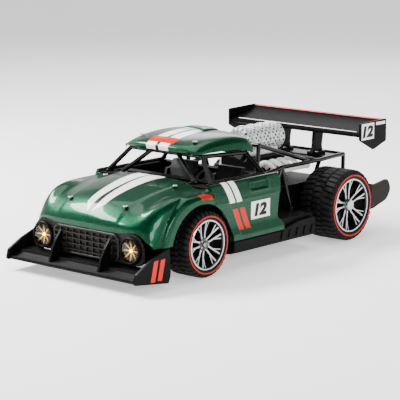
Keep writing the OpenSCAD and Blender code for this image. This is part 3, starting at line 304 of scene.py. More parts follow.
def tyre_surface(width, radius, rim_radius, band, count, blocks):
    """Tyre on the X axis: a closed section turned round, with grooves cut where the block pattern is open."""
    wall_out = np.array([[width - 0.5, rim_radius], [width - 0.15, rim_radius + 0.35],
                         [width - 0.12, band[0] - 0.1], [width, band[0]], [width, band[1]],
                         [width - 0.14, band[1] + 0.12], [width - 0.35, radius - 1.5],
                         [width - 1.1, radius - 0.55]])
    tread_x = np.linspace(width - 1.9, 1.9, 44)
    crown = radius - 0.05 - 0.3 * (np.abs(tread_x - width / 2) / (width / 2)) ** 4
    tread = np.stack([tread_x, crown], -1)
    wall_in = wall_out[::-1] * [-1, 1] + [width, 0]
    inside = np.array([[width * 0.25, rim_radius], [width * 0.75, rim_radius]])
    section = np.concatenate([wall_out, tread, wall_in, inside])
    theta = np.linspace(0, 2 * math.pi, count, endpoint=False)[:, None]
    place = section[:, 0][None, :] / width
    pitch = theta * blocks / (2 * math.pi)
    chevron = 1.1 * np.abs(place - 0.5)
    # The last third of each pitch is open. The middle row of blocks stands half a pitch on from the others.
    cut, cut_middle = [np.clip((phase - 0.66) / 0.07, 0, 1) * np.clip((0.99 - phase) / 0.07, 0, 1)
                       for phase in ((pitch + chevron) % 1, (pitch + 0.5 + chevron) % 1)]
    middle = np.abs(place - 0.5) < 0.13
    # A narrow groove runs round the tread on either side of the middle row.
    ring = np.exp(-((np.abs(place - 0.5) - 0.15) / 0.022) ** 2)
    depth = np.maximum(np.where(middle, cut_middle, cut), ring)
    index = np.arange(len(section))[None, :]
    on_tread = ((index >= len(wall_out) - 2) & (index < len(wall_out) + len(tread) + 2)).astype(float)
    r = section[:, 1][None, :] - 1.15 * depth * on_tread
    points = np.stack([section[:, 0] + 0 * theta, r * np.sin(theta), r * np.cos(theta)], -1)
    faces = grid_faces(count, len(section), True, True)
    numbers = np.zeros((count, len(section)), int)
    numbers[:, 3] = 1
    return points, faces, numbers.reshape(-1)


for end, axle, low, high, rim_radius, band, blocks in (
        ("front", front_axle, front_low, front_high, front_rim, (15.5, 16.35), 34),
        ("rear", rear_axle, rear_low, rear_high, rear_rim, (17.9, 18.8), 38)):
    width = (high.x - low.x) / mm
    radius = (high.z - low.z) / 2 / mm
    points, faces, numbers = tyre_surface(width, radius, rim_radius, band, 480, blocks)
    for side, word in ((1, "left"), (-1, "right")):
        placed = (points + [low.x / mm, 0, 0]) * [side, 1, 1] + axle
        body = "rear_wheels" if end == "rear" else "front_" + word + "_wheel"
        piece(f"{end}_{word}_tyre_rubber", [(placed, faces, numbers)], [rubber, red_rubber], body,
              [f"{end}_{word}_tyre"], crease=50)

# ---- Rims ----------------------------------------------------------------
# Moulded rims, black in the recesses, with the faces of the twin spokes and
# of the outer lip bright plated. A screw with a cross slot holds each one.

# Gloss ABS: black that mirrors a little in the recesses.
rim_black = grain(finish("gloss black rim plastic", "#0e0e0f", 0.3, Coat_Weight=0.3), 1.5, 0.005, 0.26, 0.38)
# Vacuum plating: bright faces with quick changes from light to dark.
rim_bright = grain(finish("bright plating on rim faces", "#c3c4c7", 0.2, 1.0), 2.0, 0.004, 0.16, 0.26)
# Zinc plate: paler and duller than the rim's plating.
screw_steel = grain(finish("zinc plated screw steel", "#9a9c9f", 0.34, 1.0), 1.0, 0.004, 0.28, 0.4)


def turned(profile, centre, axis, count=64):
    """Profile of (place along the axis, radius) turned round a line through centre along x, y or z."""
    profile = np.asarray(profile, float)
    theta = np.linspace(0, 2 * math.pi, count, endpoint=False)[:, None]
    along, r = profile[:, 0] + 0 * theta, profile[:, 1]
    a, b = r * np.cos(theta), r * np.sin(theta)
    order = {"x": (along, a, b), "y": (b, along, a), "z": (a, b, along)}[axis]
    points = np.stack(order, -1) + np.asarray(centre)
    faces = grid_faces(count, len(profile), True, False)
    if profile[0, 1] > 0 and profile[-1, 1] > 0 and not np.allclose(profile[0], profile[-1]):
        faces += [list(range(0, count * len(profile), len(profile)))]
        faces += [list(range(len(profile) - 1, count * len(profile), len(profile)))]
    return points, faces


def ring_of(profile, centre, axis, count=96):
    """A closed section of (place along the axis, radius) turned round a line, as a ring."""
    profile = np.asarray(profile, float)
    points, _ = turned(profile, centre, axis, count)
    return points, grid_faces(count, len(profile), True, True)


def spoke_bar(inner, outer, foot, head, face_in, face_out, depth, angle, centre, stout=0.82):
    """A spoke: a bar from inner to outer radius that leans from foot to head, bright faced with black sides."""
    steps = np.linspace(0, 1, 9)
    r = inner + (outer - inner) * steps
    offset = foot + (head - foot) * steps
    face = face_in + (face_out - face_in) * steps ** 1.6
    half_w = stout * (0.62 + 0.12 * steps)
    section = []
    for s, lift in ((-1.25, -depth), (-1.25, -0.35), (-0.8, 0), (0.8, 0), (1.25, -0.35), (1.25, -depth)):
        section.append(np.stack([face + lift, offset + s * half_w, r], -1))
    points = np.stack(section, 1)
    c, s = math.cos(angle), math.sin(angle)
    x, a, b = points[..., 0], points[..., 1], points[..., 2]
    points = np.stack([x, a * c - b * s, a * s + b * c], -1) + np.asarray(centre)
    faces = grid_faces(len(steps), 6, False, True)
    # Of the six faces round the bar, only the one turned outwards is plated.
    numbers = [1 if k % 6 == 2 else 0 for k in range(len(faces))]
    faces += [list(range(6)), list(range(6 * 8, 6 * 9))]
    return points, faces, numbers + [0, 0]


def wheel_parts(width, radius, face, axle):
    """A rim about the axle: barrel, dark back plate, lip, hub and five pairs of spokes."""
    barrel = [[face - width, radius - 1.3], [face - width, radius], [face - 0.9, radius],
              [face - 0.3, radius + 0.1], [face - 0.1, radius - 0.25], [face - 0.15, radius - 0.9],
              [face - 0.8, radius - 1.35]]
    points, faces = ring_of(barrel, axle, "x")
    rows = len(barrel)
    # The three faces of the outer lip are plated.
    numbers = [1 if k % rows in (2, 3, 4) else 0 for k in range(len(faces))]
    parts = [(points, faces, numbers)]
    parts.append((*turned([[face - 8.2, 0.01], [face - 8.2, radius - 0.6], [face - 7.0, radius - 0.6],
                           [face - 7.0, 0.01]], axle, "x"), 0))
    parts.append((*turned([[face - 8, 0.01], [face - 8, 4.6], [face - 3.4, 4.2], [face - 2.8, 3.6],
                           [face - 2.6, 2.4], [face - 2.9, 0.01]], axle, "x"), 0))
    for k in range(5):
        turn = 2 * math.pi * k / 5 + 0.2
        for s in (-1, 1):
            parts.append(spoke_bar(2.8, radius - 0.9, s * 1.1, s * 2.5, face - 3.0, face - 0.9, 2.6, turn,
                                   axle))
            # A thinner fork leaves each spoke half way out and leans to the next pair.
            parts.append(spoke_bar(radius * 0.5, radius - 1.1, s * 1.75, s * 5.6, face - 2.45, face - 1.1,
                                   2.2, turn, axle, 0.6))
        turn += math.pi / 5
        nut = np.asarray(axle) + [0, -3.0 * math.sin(turn), 3.0 * math.cos(turn)]
        parts.append((*turned([[face - 3.4, 0.01], [face - 3.4, 0.62], [face - 2.5, 0.5], [face - 2.4, 0.01]],
                              nut, "x", 12), 1))
    return parts


def screw_head(centre, axis, direction, radius, height):
    """A pan head: a low dome turned round the axis, with a round pit sunk in its centre."""
    place = [[0, 0.02], [0, radius], [height * 0.45, radius], [height * 0.85, radius * 0.8],
             [height, radius * 0.5], [height, radius * 0.42], [height * 0.5, radius * 0.3],
             [height * 0.5, 0.02]]
    return turned([[direction * a, r] for a, r in place], centre, axis, 32)


for end, axle, low, high, rim_radius in (("front", front_axle, front_low, front_high, front_rim),
                                         ("rear", rear_axle, rear_low, rear_high, rear_rim)):
    width = (high.x - low.x) / mm - 0.6
    parts = wheel_parts(width, rim_radius, wheel_face - 0.3, [0, 0, 0])
    for side, word in ((1, "left"), (-1, "right")):
        body = "rear_wheels" if end == "rear" else "front_" + word + "_wheel"
        placed = [(np.asarray(p[0]).reshape(-1, 3) * [side, 1, 1] + axle, *p[1:]) for p in parts]
        piece(f"{end}_{word}_rim_faces", placed, [rim_black, rim_bright], body, [f"{end}_{word}_rim"],
              crease=30)
        head = screw_head([side * (wheel_face - 2.9), axle[1], axle[2]], "x", side, 1.7, 1.1)
        if end == "front":
            piece(f"{end}_{word}_screw_head", [head], [screw_steel], body, [f"front_{word}_screw"])
        else:
            nut = piece(f"{end}_{word}_screw_head", [head], [screw_steel], body)

# ---- Splitter ------------------------------------------------------------
# A moulded blade of satin black plastic under the nose, with a rib across it,
# two end fins with red film bars and two inner fins.

# Printed vinyl films: even colour under a thin clear layer, a little smoother than the plastic round them.
white_vinyl = finish("white vinyl film", "#f3f3f0", 0.35, Coat_Weight=0.5, Coat_Roughness=0.08)
black_vinyl = finish("black vinyl film", "#040404", 0.5, Specular_IOR_Level=0.15)
red_vinyl = finish("coral red vinyl film", "#c8170a", 0.4, Coat_Weight=0.15, Coat_Roughness=0.1,
                   Specular_IOR_Level=0.15)
for vinyl, wave in ((white_vinyl, 6.0), (black_vinyl, 5.0), (red_vinyl, 5.0)):
    grain(vinyl, wave, 0.004, 0.3, 0.42)


def plate(outline, low, high, axis="x"):
    """A plate: its outline in the plane across the axis, carried straight along the axis from low to high."""
    outline = np.asarray(outline, float)
    n = len(outline)
    ends = [np.insert(outline, {"x": 0, "y": 1, "z": 2}[axis], level, axis=1) for level in (low, high)]
    k = np.arange(n)
    sides = np.stack([k, (k + 1) % n, (k + 1) % n + n, k + n], -1).tolist()
    return np.concatenate(ends), sides + [k[::-1].tolist(), (k + n).tolist()]


def rounded(outline, radius, steps=6):
    """The outline with each corner eased: a quadratic curve from one radius before it to one after it."""
    p = np.asarray(outline, float)
    ways = [np.roll(p, shift, 0) - p for shift in (1, -1)]
    spans = [np.linalg.norm(w, axis=1, keepdims=True) for w in ways]
    a, b = [(p + w / n * np.minimum(radius, 0.45 * n))[:, None] for w, n in zip(ways, spans)]
    t = np.linspace(0, 1, steps)[None, :, None]
    return ((1 - t) ** 2 * a + 2 * t * (1 - t) * p[:, None] + t * t * b).reshape(-1, 2)


fin_outline = rounded([[fa - 59.5, 6.3], [fa - 58.1, 12], [fa - 47.7, 17.2], [fa - 32, 22.6], [fa - 31, 8],
                       [fa - 32.6, 3]], 1.2)
inner_fin = rounded([[fa - 55.6, 8.2], [fa - 53.8, 14.5], [fa - 50.4, 20.5], [fa - 46.4, 25.4], [fa - 46, 26],
                     [fa - 46, 11.4], [fa - 50, 10.8]], 0.6)
blade = [[fa - 57.6, 6.3], [fa - 58, 7], [fa - 57.7, 8.1], [fa - 56.8, 8.4], [fa - 56, 8.1], [fa - 51.6, 9.9],
         [fa - 51, 11.2], [fa - 50, 11.3], [fa - 49.4, 10.7], [fa - 45, 11.6], [fa - 43, 12], [fa - 43, 8],
         [fa - 31, 8], [fa - 31, 6.2], [fa - 50, 5.6]]
splitter = [plate(blade, -48.6, 48.6)]
for side in (1, -1):
    splitter.append(plate(fin_outline, side * 48.5, side * 50))
    splitter.append(plate(inner_fin, side * 18.2, side * 19.6))
    splitter.append(plate(rounded([[side * 47, fa - 52], [side * 48.6, fa - 52], [side * 48.6, fa - 34],
                                   [side * 47, fa - 34]], 0.5), 8, 9.4, "z"))
piece("splitter_blade", splitter, [satin_black], "chassis", ["front_splitter"], bevel=0.28)
bars = []
for side in (1, -1):
    for start in (fa - 47.2, fa - 41.8):
        bars.append(plate([[start, 5.9], [start + 3.5, 5.5], [start + 6.3, 17.2], [start + 2.8, 17]],
                          side * 50.0, side * 50.12))
red_bars = piece("splitter_fin_bars", bars, [red_vinyl], "chassis")

# ---- Sills ---------------------------------------------------------------
# A black step runs along the tub under each door and rises to a ramp ahead
# of the rear wheel. It is moulded in one with the tub.

sill = rounded([[fa + 27.4, 8.6], [fa + 27.4, 15.2], [fa + 70, 15.2], [fa + 84, 18.4], [fa + 100.5, 19.6],
                [fa + 102, 17.5], [fa + 102, 8.6]], 1.0)
sills = []
for side in (1, -1):
    sills.append(plate(sill, side * 43.02, side * 45.4))
    # Five slanted ribs stand on the ramp, 7 mm apart.
    for k in range(5):
        sills.append(plate(rounded([[fa + 69 + k * 7, 10], [fa + 71 + k * 7, 10], [fa + 72.5 + k * 7, 15],
                                    [fa + 70.5 + k * 7, 15]], 0.4, 3), side * 45.3, side * 46))
steps = piece("side_steps", sills, [satin_black], "chassis", bevel=0.25)

# ---- Rear bumper ---------------------------------------------------------
# Warm grey side plates with rounded corners stand behind the rear wheels,
# joined by a ribbed black slab under the tail.

# Moulded ABS in a warm grey: satin, a shade lighter than the black parts.
warm_grey = grain(finish("warm grey moulded plastic", "#1b1613", 0.5, Specular_IOR_Level=0.1), 0.8, 0.02,
                  0.38, 0.54)
rear_plate = rounded([[ra + 23.4, 30.2], [ra + 40.6, 32.7], [ra + 44, 25.9], [ra + 40, 19.8],
                      [ra + 23.4, 15.2]], 2.6)
tail = []
for side in (1, -1):
    tail.append(plate(rear_plate, side * 45.4, side * 47))
tail.append((*plate(rounded([[ra + 24, 20], [ra + 24, 22], [ra + 35.4, 22], [ra + 38.4, 28], [ra + 40, 28],
                             [ra + 37, 20]], 0.5, 4), -45.5, 45.5), 1))
tail.append((*plate([[-9, ra + 13.5], [9, ra + 13.5], [9, ra + 24.2], [-9, ra + 24.2]], 17, 22, "z"), 1))
# Seven ribs hang under the slab, 11 mm apart.
for k in range(-3, 4):
    tail.append((*plate(rounded([[ra + 24, 20.1], [ra + 37, 20.1], [ra + 36.4, 13.4], [ra + 30, 14.4]], 0.8,
                                4), k * 11 - 0.8, k * 11 + 0.8), 1))
piece("rear_bumper_plates", tail, [warm_grey, satin_black], "chassis", ["rear_bumper"], bevel=0.25)

# ---- Cockpit -------------------------------------------------------------
# A dark tray with two bucket seats, a dashboard and a small steering wheel,
# all matt mouldings. It drops in between the doors.

# Grained ABS: matt, so that the inside stays dark.
cabin = grain(finish("matt dark cabin plastic", "#060606", 0.6, Specular_IOR_Level=0.08), 0.9, 0.04, 0.5, 0.7)
softened(["cockpit_tub", "dashboard"], cabin, 0.25)
# Coarser grain than the tray's: a faint sheen on the bolsters.
seat_plastic = grain(finish("grained seat plastic", "#121316", 0.5, Specular_IOR_Level=0.18), 1.1, 0.06, 0.42,
                     0.62)
softened(["seats"], seat_plastic, 0.7)
# Soft-touch plastic: black with a dull shine.
wheel_rim = grain(finish("soft black wheel grip", "#0a0a0b", 0.5), 0.7, 0.03, 0.42, 0.6)
nodes["steering_wheel"].data.materials.clear()
nodes["steering_wheel"].data.materials.append(wheel_rim)

# ---- Roll cage and rear frame --------------------------------------------
# Gloss black tubes, 2.6 mm thick, moulded in two frames. The front one carries
# the roof and the rear one the engine cover and the wing.

# Gloss enamel on nylon: black tubes with one thin light line each.
enamel = grain(finish("gloss black enamel", "#050505", 0.3, 0.0, Coat_Weight=0.3, Coat_Roughness=0.08,
                      Specular_IOR_Level=0.1), 2.5, 0.006, 0.16, 0.26)
for name in ("roll_cage", "rear_frame"):
    nodes[name].data.materials.clear()
    nodes[name].data.materials.append(enamel)

# ---- Engine --------------------------------------------------------------
# A dummy engine: a dark finned block, a silver blower drum of perforated
# sheet above it, and white header pipes down each side.

def through(points, count):
    """Catmull-Rom curve through the points on the first axis, taken at even steps of the point number."""
    points = np.asarray(points, float)
    last = len(points) - 1
    s = np.linspace(0, last, count)
    i = np.minimum(s.astype(int), last - 1)
    t = (s - i).reshape(-1, *[1] * (points.ndim - 1))
    a, b, c, d = points[np.maximum(i - 1, 0)], points[i], points[i + 1], points[np.minimum(i + 2, last)]
    return 0.5 * (2 * b + (c - a) * t + (2 * a - 5 * b + 4 * c - d) * t * t + (3 * b - a - 3 * c + d) * t ** 3)


def pipe(points, radius, smooth=8, closed=False, sides=16, up=(0.0, 0.0, 1.0)):
    """Round tube: a circle of that radius carried along the smooth curve through the points, square to it."""
    path = np.asarray(points, float)
    if smooth:
        path = through(path, (len(path) - 1) * smooth + 1)
    if closed:
        run = np.roll(path, -1, 0) - np.roll(path, 1, 0)
    else:
        run = np.gradient(path, axis=0)
    run /= np.linalg.norm(run, axis=1, keepdims=True)
    side = np.cross(run, np.asarray(up))
    side /= np.linalg.norm(side, axis=1, keepdims=True)
    top = np.cross(side, run)
    turn = np.linspace(0, 2 * math.pi, sides, endpoint=False)
    radius = np.broadcast_to(np.asarray(radius, float), (len(path),))[:, None, None]
    circle = np.cos(turn)[None, :, None] * side[:, None] + np.sin(turn)[None, :, None] * top[:, None]
    ring = path[:, None] + radius * circle
    faces = grid_faces(len(path), sides, closed, True)
    if not closed:
        faces += [list(range(sides)), list(range((len(path) - 1) * sides, len(path) * sides))]
    return ring.reshape(-1, 3), faces


softened(["engine_block"], cabin, 0.35)
drum_z, drum_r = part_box("engine_blower")[1].z / mm - 9.2, 8.3
drum_y0, drum_y1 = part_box("engine_blower")[0].y / mm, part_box("engine_blower")[1].y / mm
# Silver lacquer on punched sheet: a pale soft shine with rows of holes, painted dark as painted shade of the
# drum's inside seen through them.
perforated = finish("silver lacquered perforated drum", "#d6d8da", 0.3, 0.35)
tree = perforated.node_tree
shader = tree.nodes["Principled BSDF"]
place = add(tree, "TexCoord")
axes = add(tree, "SeparateXYZ", [place.outputs["Object"]])
drop = add(tree, "Math", [axes.outputs["Z"], drum_z * mm], operation="SUBTRACT")
turn = add(tree, "Math", [axes.outputs["X"], drop], operation="ARCTAN2")
round_way = add(tree, "Math", [turn, drum_r * mm], operation="MULTIPLY")
row = add(tree, "CombineXYZ", {"X": round_way, "Y": axes.outputs["Y"]})
# Holes 1.5 mm across on a 2.6 mm square grid turned by 45 degrees.
skew = add(tree, "Mapping", {"Vector": row, "Rotation": (0, 0, math.pi / 4)})
dots = add(tree, "TexVoronoi", {"Vector": skew, "Scale": 1000 / 2.6, "Randomness": 0.0})
# Inside each hole the colour turns dark: painted shade.
hole_with_painted_shade = add(tree, "Math", [dots.outputs["Distance"], 0.29], operation="LESS_THAN")
ink = add(tree, "Mix", {"Factor": hole_with_painted_shade, "A": srgb("#dcdedf"), "B": srgb("#26272a")}, data_type="RGBA")
tree.links.new(ink.outputs["Result"], shader.inputs["Base Color"])
sheet = add(tree, "Math", [hole_with_painted_shade, -1.0, 1.0], operation="MULTIPLY_ADD")
dent = add(tree, "Bump", {"Height": sheet, "Strength": 0.7, "Distance": 0.0004})
tree.links.new(dent.outputs["Normal"], shader.inputs["Normal"])
# The same silver lacquer on solid rings: smoother and brighter than the drum.
silver = grain(finish("silver lacquer", "#cfd2d4", 0.28, 0.6), 1.0, 0.006, 0.22, 0.34)
# Pearl lacquer: warm white with a soft clear shine.
white_pearl = grain(finish("pearl white lacquer", "#ecebe6", 0.3, 0.0, Coat_Weight=0.6, Coat_Roughness=0.1),
                    2.0, 0.006, 0.24, 0.38)
drum = [[drum_y0 + 0.2, 0.02], [drum_y0 + 0.2, 4.2], [drum_y0, 4.6], [drum_y0, 7.4], [drum_y0 + 0.9, 8.3],
        [drum_y0 + 2, 8.6], [drum_y0 + 3, 8.3], [drum_y1 - 3, 8.3], [drum_y1 - 2, 8.7], [drum_y1 - 0.9, 8.4],
        [drum_y1, 7.2], [drum_y1, 5.2], [drum_y1 - 2.6, 4.8], [drum_y1 - 2.8, 0.02]]
bands = [ring_of([[a, drum_r - 0.3], [a, drum_r + 0.55], [a + 0.3, drum_r + 0.8], [a + 0.9, drum_r + 0.8],
                  [a + 1.2, drum_r + 0.55], [a + 1.2, drum_r - 0.3]], [0, 0, drum_z], "y")
         for a in np.linspace(drum_y0 + 4.5, drum_y1 - 6, 4)]
saddle = plate(rounded([[-7, drum_z - 9.4], [7, drum_z - 9.4], [6.2, drum_z - 3], [-6.2, drum_z - 3]], 1),
               drum_y0 + 3, drum_y1 - 6, "y")
piece("blower_drum", [turned(drum, [0, 0, drum_z], "y", 96), *[(*b, 1) for b in bands], (*saddle, 1)],
      [perforated, silver], "chassis", ["engine_blower"])
block_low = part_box("engine_block")[0]
# The middle line of one header pipe: mm out from the centre plane, along from its port, and up.
bend = [[12.6, 0, 46.2], [14.8, 0, 48.6], [17.4, 1.2, 49.9], [19.4, 4, 48.2], [20, 7.2, 45.2]]
pipes = []
for side in (1, -1):
    for k in range(4):
        port = block_low.y / mm + 5 + 7.4 * k
        pipes.append(pipe([[side * out, port + along, up] for out, along, up in bend], 1.45, up=(1.0, 0.3, 0.2)))
        pipes.append(pipe([[side * 12, port, 45.8], [side * 13.2, port, 46.9]], 2.1, 0, up=(0.0, 1.0, 0.0)))
    line = [[side * 20, block_low.y / mm + d, 44.4] for d in (9.8, 16, 26, 36, 42, 43.6)]
    pipes.append(pipe(line, [2.0, 2.0, 2.0, 2.0, 2.1, 2.35], 0))
piece("header_pipes", pipes, [white_pearl], "chassis", ["exhaust_headers"], crease=50)

# ---- Grille and headlights -----------------------------------------------
# A moulded panel fills the nose: a framed mesh in the middle and a round lamp
# at each end, with a clear lens over a plated bowl and a warm white diode.

grille_y = fa - 44.6
# Moulded ABS in a brown black: dull, with paler bars between sunk openings that are painted darker, as painted
# shade inside them.
mesh_brown = finish("brown black grille plastic", "#140f0d", 0.5, Specular_IOR_Level=0.18)
tree = mesh_brown.node_tree
shader = tree.nodes["Principled BSDF"]
place = add(tree, "TexCoord")
flat = add(tree, "Mapping", {"Vector": place.outputs["Object"], "Rotation": (math.pi / 2, 0, 0)})
# The mesh is a brick bond with openings 1.8 mm wide and 1.1 mm high, coloured nearly black as painted shade.
weave_with_painted_shade = add(tree, "TexBrick", {"Vector": flat.outputs["Vector"], "Scale": 1.0, "Brick Width": 0.0024,
                               "Row Height": 0.0017, "Mortar Size": 0.00028, "Color1": srgb("#040303"),
                               "Color2": srgb("#070505"), "Mortar": srgb("#241d19")})
tree.links.new(weave_with_painted_shade.outputs["Color"], shader.inputs["Base Color"])
lift = add(tree, "Bump", {"Height": weave_with_painted_shade.outputs["Fac"], "Strength": 0.8, "Distance": 0.0005})
tree.links.new(lift.outputs["Normal"], shader.inputs["Normal"])
# The same plastic polished by the tool: bars with a faint shine.
bar_brown = grain(finish("satin grille bar plastic", "#15110e", 0.42, Specular_IOR_Level=0.2), 0.8, 0.01,
                  0.32, 0.44)
panel = rounded([[-42, 12.6], [42, 12.6], [42, 24], [37, 29.7], [-37, 29.7], [-42, 24]], 4)
grille_parts = [(*plate(panel, grille_y, grille_y + 1.6, "y"), 0)]
frame_line = rounded([[-24.5, 13.2], [24.5, 13.2], [24.5, 27.6], [-24.5, 27.6]], 4, 8)
frame_line = np.insert(frame_line, 1, grille_y - 0.5, axis=1)
grille_parts.append((*pipe(frame_line, 0.85, 0, True, 10, (0.0, 1.0, 0.0)), 1))
for level in (15.6, 18.7, 21.8, 24.9):
    bar = rounded([[grille_y - 1.5, level - 0.42], [grille_y - 0.2, level - 0.42],
                   [grille_y - 0.2, level + 0.42], [grille_y - 1.5, level + 0.3]], 0.2, 3)
    grille_parts.append((*plate(bar, -24, 24), 1))
for out in np.linspace(-20, 20, 9):
    bar = rounded([[out - 0.3, grille_y - 1.0], [out + 0.3, grille_y - 1.0],
                   [out + 0.3, grille_y - 0.1], [out - 0.3, grille_y - 0.1]], 0.12, 3)
    grille_parts.append((*plate(bar, 13.5, 27.4, "z"), 1))
piece("grille_panel", grille_parts, [mesh_brown, bar_brown], "chassis", ["front_grille"])

lamp_x, lamp_z, lamp_r = 33.6, 20.5, 7.6
# Plated ABS, coloured black as painted shade, with no sheen of its own, and warm rays of painted glow on it.
glow_painted_bowl = finish("plated lamp bowl", "#050404", 0.5, 0.0, Specular_IOR_Level=0.05,
              Emission_Color=srgb("#ffb833"))
tree = glow_painted_bowl.node_tree
shader = tree.nodes["Principled BSDF"]
place = add(tree, "TexCoord")
axes = add(tree, "SeparateXYZ", [place.outputs["Object"]])
off = add(tree, "Math", [add(tree, "Math", [axes.outputs["X"]], operation="ABSOLUTE"), lamp_x * mm],
          operation="SUBTRACT")
up = add(tree, "Math", [axes.outputs["Z"], lamp_z * mm], operation="SUBTRACT")
squares = [add(tree, "Math", [way, 2.0], operation="POWER") for way in (off, up)]
far = add(tree, "Math", [add(tree, "Math", squares, operation="ADD")], operation="SQRT")
# Painted glow: the diode's light that the bowl's ribs throw back is painted on the bowl as emission in eight
# rays: |cos 4a| to the 22nd power round the lamp's axis.
angle = add(tree, "Math", [add(tree, "Math", [up, off], operation="ARCTAN2"), 4.0], operation="MULTIPLY")
wave = add(tree, "Math", [add(tree, "Math", [angle], operation="COSINE")], operation="ABSOLUTE")
painted_ray = add(tree, "Math", [wave, 22.0], operation="POWER")
# They fade out 6.4 mm from the diode.
near = add(tree, "Math", [far, -1 / 0.0064, 1.0], operation="MULTIPLY_ADD")
fade = add(tree, "Math", [add(tree, "Math", [near, 0.0], operation="MAXIMUM"), 2.0], operation="POWER")
strength = add(tree, "Math", [painted_ray, 11.0, 0.1], operation="MULTIPLY_ADD")
painted_glow = add(tree, "Math", [strength, fade], operation="MULTIPLY")
tree.links.new(painted_glow.outputs[0], shader.inputs["Emission Strength"])
# A lit phosphor dome: nearly white at the middle, warm round it.
diode = finish("warm white diode", "#fff3cf", 0.3, 0.0, Emission_Color=srgb("#ffd45c"),
               Emission_Strength=16.0)
# Clear acrylic, thin enough to hardly bend or mirror the light.
clear = finish("clear lamp lens", "#ffffff", 0.04, 0.0, Transmission_Weight=1.0, IOR=1.2)
bezels, bowls, lenses, diodes = [], [], [], []
for side in (1, -1):
    spot = [side * lamp_x, grille_y, lamp_z]
    bezels.append(ring_of([[0, lamp_r - 1.3], [0, lamp_r], [-1.4, lamp_r], [-1.9, lamp_r - 0.35],
                           [-2, lamp_r - 0.8], [-1.7, lamp_r - 1.25]], spot, "y"))
    bowls.append(turned([[-0.05, 0.02], [-0.1, 1.8], [-0.35, 3.6], [-0.8, 5.4], [-1.3, lamp_r - 1.35],
                         [-0.02, lamp_r - 1.35], [-0.02, 0.02]], spot, "y", 64))
    lenses.append(turned([[-2.0, 0.02], [-1.95, 2.5], [-1.8, 4.5], [-1.5, lamp_r - 1.32],
                          [-1.2, lamp_r - 1.32], [-1.5, 4.5], [-1.65, 2.5], [-1.7, 0.02]], spot, "y", 64))
    diodes.append(turned([[-0.1, 0.9], [-0.7, 0.8], [-1.0, 0.5], [-1.1, 0.02]], spot, "y", 32))
piece("lamp_bezels", bezels, [satin_black], "chassis", ["headlight_bezels"], bevel=0.1)
# The bowls, with their painted glow, go in one piece with the diodes.
piece("lamp_diodes_and_painted_glow", [(*b, 1) for b in bowls] + diodes, [diode, glow_painted_bowl], "chassis", ["headlight_leds"])
piece("lamp_lenses", lenses, [clear], "chassis", ["headlight_lenses"])

# ---- Hood and fenders ----------------------------------------------------
# One vacuum-formed shell of thin sheet, painted in metallic green under a
# clear coat, with white stripes in vinyl film. Four screws hold it down.

def sheet_of(points, wall):
    """A closed thin wall: the grid of points, its copy one wall inward along the normals, and the rim."""
    rows, cols, _ = points.shape
    back = np.gradient(points, axis=0)
    side = np.gradient(points, axis=1)
    normal = np.cross(side, back)
    normal /= np.maximum(np.linalg.norm(normal, axis=-1, keepdims=True), 1e-9)
    inner = points - wall * normal
    both = np.concatenate([points.reshape(-1, 3), inner.reshape(-1, 3)])
    shift = rows * cols
    edge = np.concatenate([np.arange(cols), np.arange(1, rows) * cols + cols - 1,
                           shift - 2 - np.arange(cols - 1), np.arange(rows - 2, 0, -1) * cols])
    after = np.roll(edge, -1)
    rim = np.stack([edge, after, after + shift, edge + shift], -1).tolist()
    inside = [f[::-1] for f in grid_faces(rows, cols, start=shift)]
    return both, grid_faces(rows, cols) + inside + rim


shell_wall = 1.4
arch_radius = 26.0
arch_y, arch_z = fa - 1.6, 15.5
# Guide lines from the centre plane out to the lower edge: mm out, along from the front axle, and up.
# A height of 0 stands for the arch's edge, which is worked out below.
hood_guides = [
    [[0, -45.2, 28.8], [0, -46, 31.5], [0, -45, 34.6], [0, -41, 38.8], [0, -32.4, 43.8],
     [0, -20, 47.5], [0, -8, 50], [0, 2, 51], [0, 8, 50.8]],
    [[12, -45.2, 28.8], [12, -45.9, 31.5], [12, -44.8, 34.5], [12, -40.7, 38.6], [12, -32.3, 43.6],
     [12, -20, 47.3], [12, -8, 49.8], [12, 2, 50.8], [12, 8, 50.7]],
    [[26, -44.7, 29.2], [26, -45.1, 31.8], [26, -43.7, 34.4], [26, -39.6, 37.9], [26, -31.8, 42.4],
     [26, -20, 46], [26, -8, 48.4], [26, 2, 49.6], [26, 8, 49.6]],
    [[33, -44, 30], [33, -44, 32], [33, -42.4, 34.3], [33, -38.8, 37.3], [33, -31.3, 41.4],
     [33, -20, 44.2], [33, -8, 46], [33, 2, 46.8], [33, 8, 47.4]],
    [[38, -43, 29], [38, -42.6, 31.5], [38, -41, 34.4], [38, -37.8, 38.2], [38, -30.8, 43.2],
     [38, -20, 46], [38, -8, 46.7], [38, 2, 46.8], [38, 8, 47.4]],
    [[41.5, -42, 26], [41.8, -41, 29.5], [41.6, -39, 33], [41.8, -36.6, 37.4], [42.2, -30.2, 43.8],
     [42.8, -20, 46.9], [43, -8, 47], [43, 2, 47.2], [42.8, 8, 47.8]],
    [[44, -40.6, 24], [44.3, -39, 26], [44.7, -36.8, 28.5], [45.2, -34, 32], [46, -28.6, 36],
     [46.6, -20, 41.5], [46.8, -8, 44.6], [46.8, 2, 44.8], [46.4, 8, 44]],
    [[45, -39.4, 22], [45.4, -37.6, 22], [45.8, -35.4, 22], [46.4, -32.4, 22], [47, -26.6, 0],
     [47.4, -20, 0], [47.5, -8, 0], [47.5, 2, 0], [47, 8, 0]]]
hood = np.array(hood_guides)
hood[..., 1] += fa
on_arch = hood[-1, :, 2] == 0
hood[-1, on_arch, 2] = arch_z + np.sqrt(arch_radius ** 2 - (hood[-1, on_arch, 1] - arch_y) ** 2)
half = through(through(hood, 90).transpose(1, 0, 2), 170).transpose(1, 0, 2)
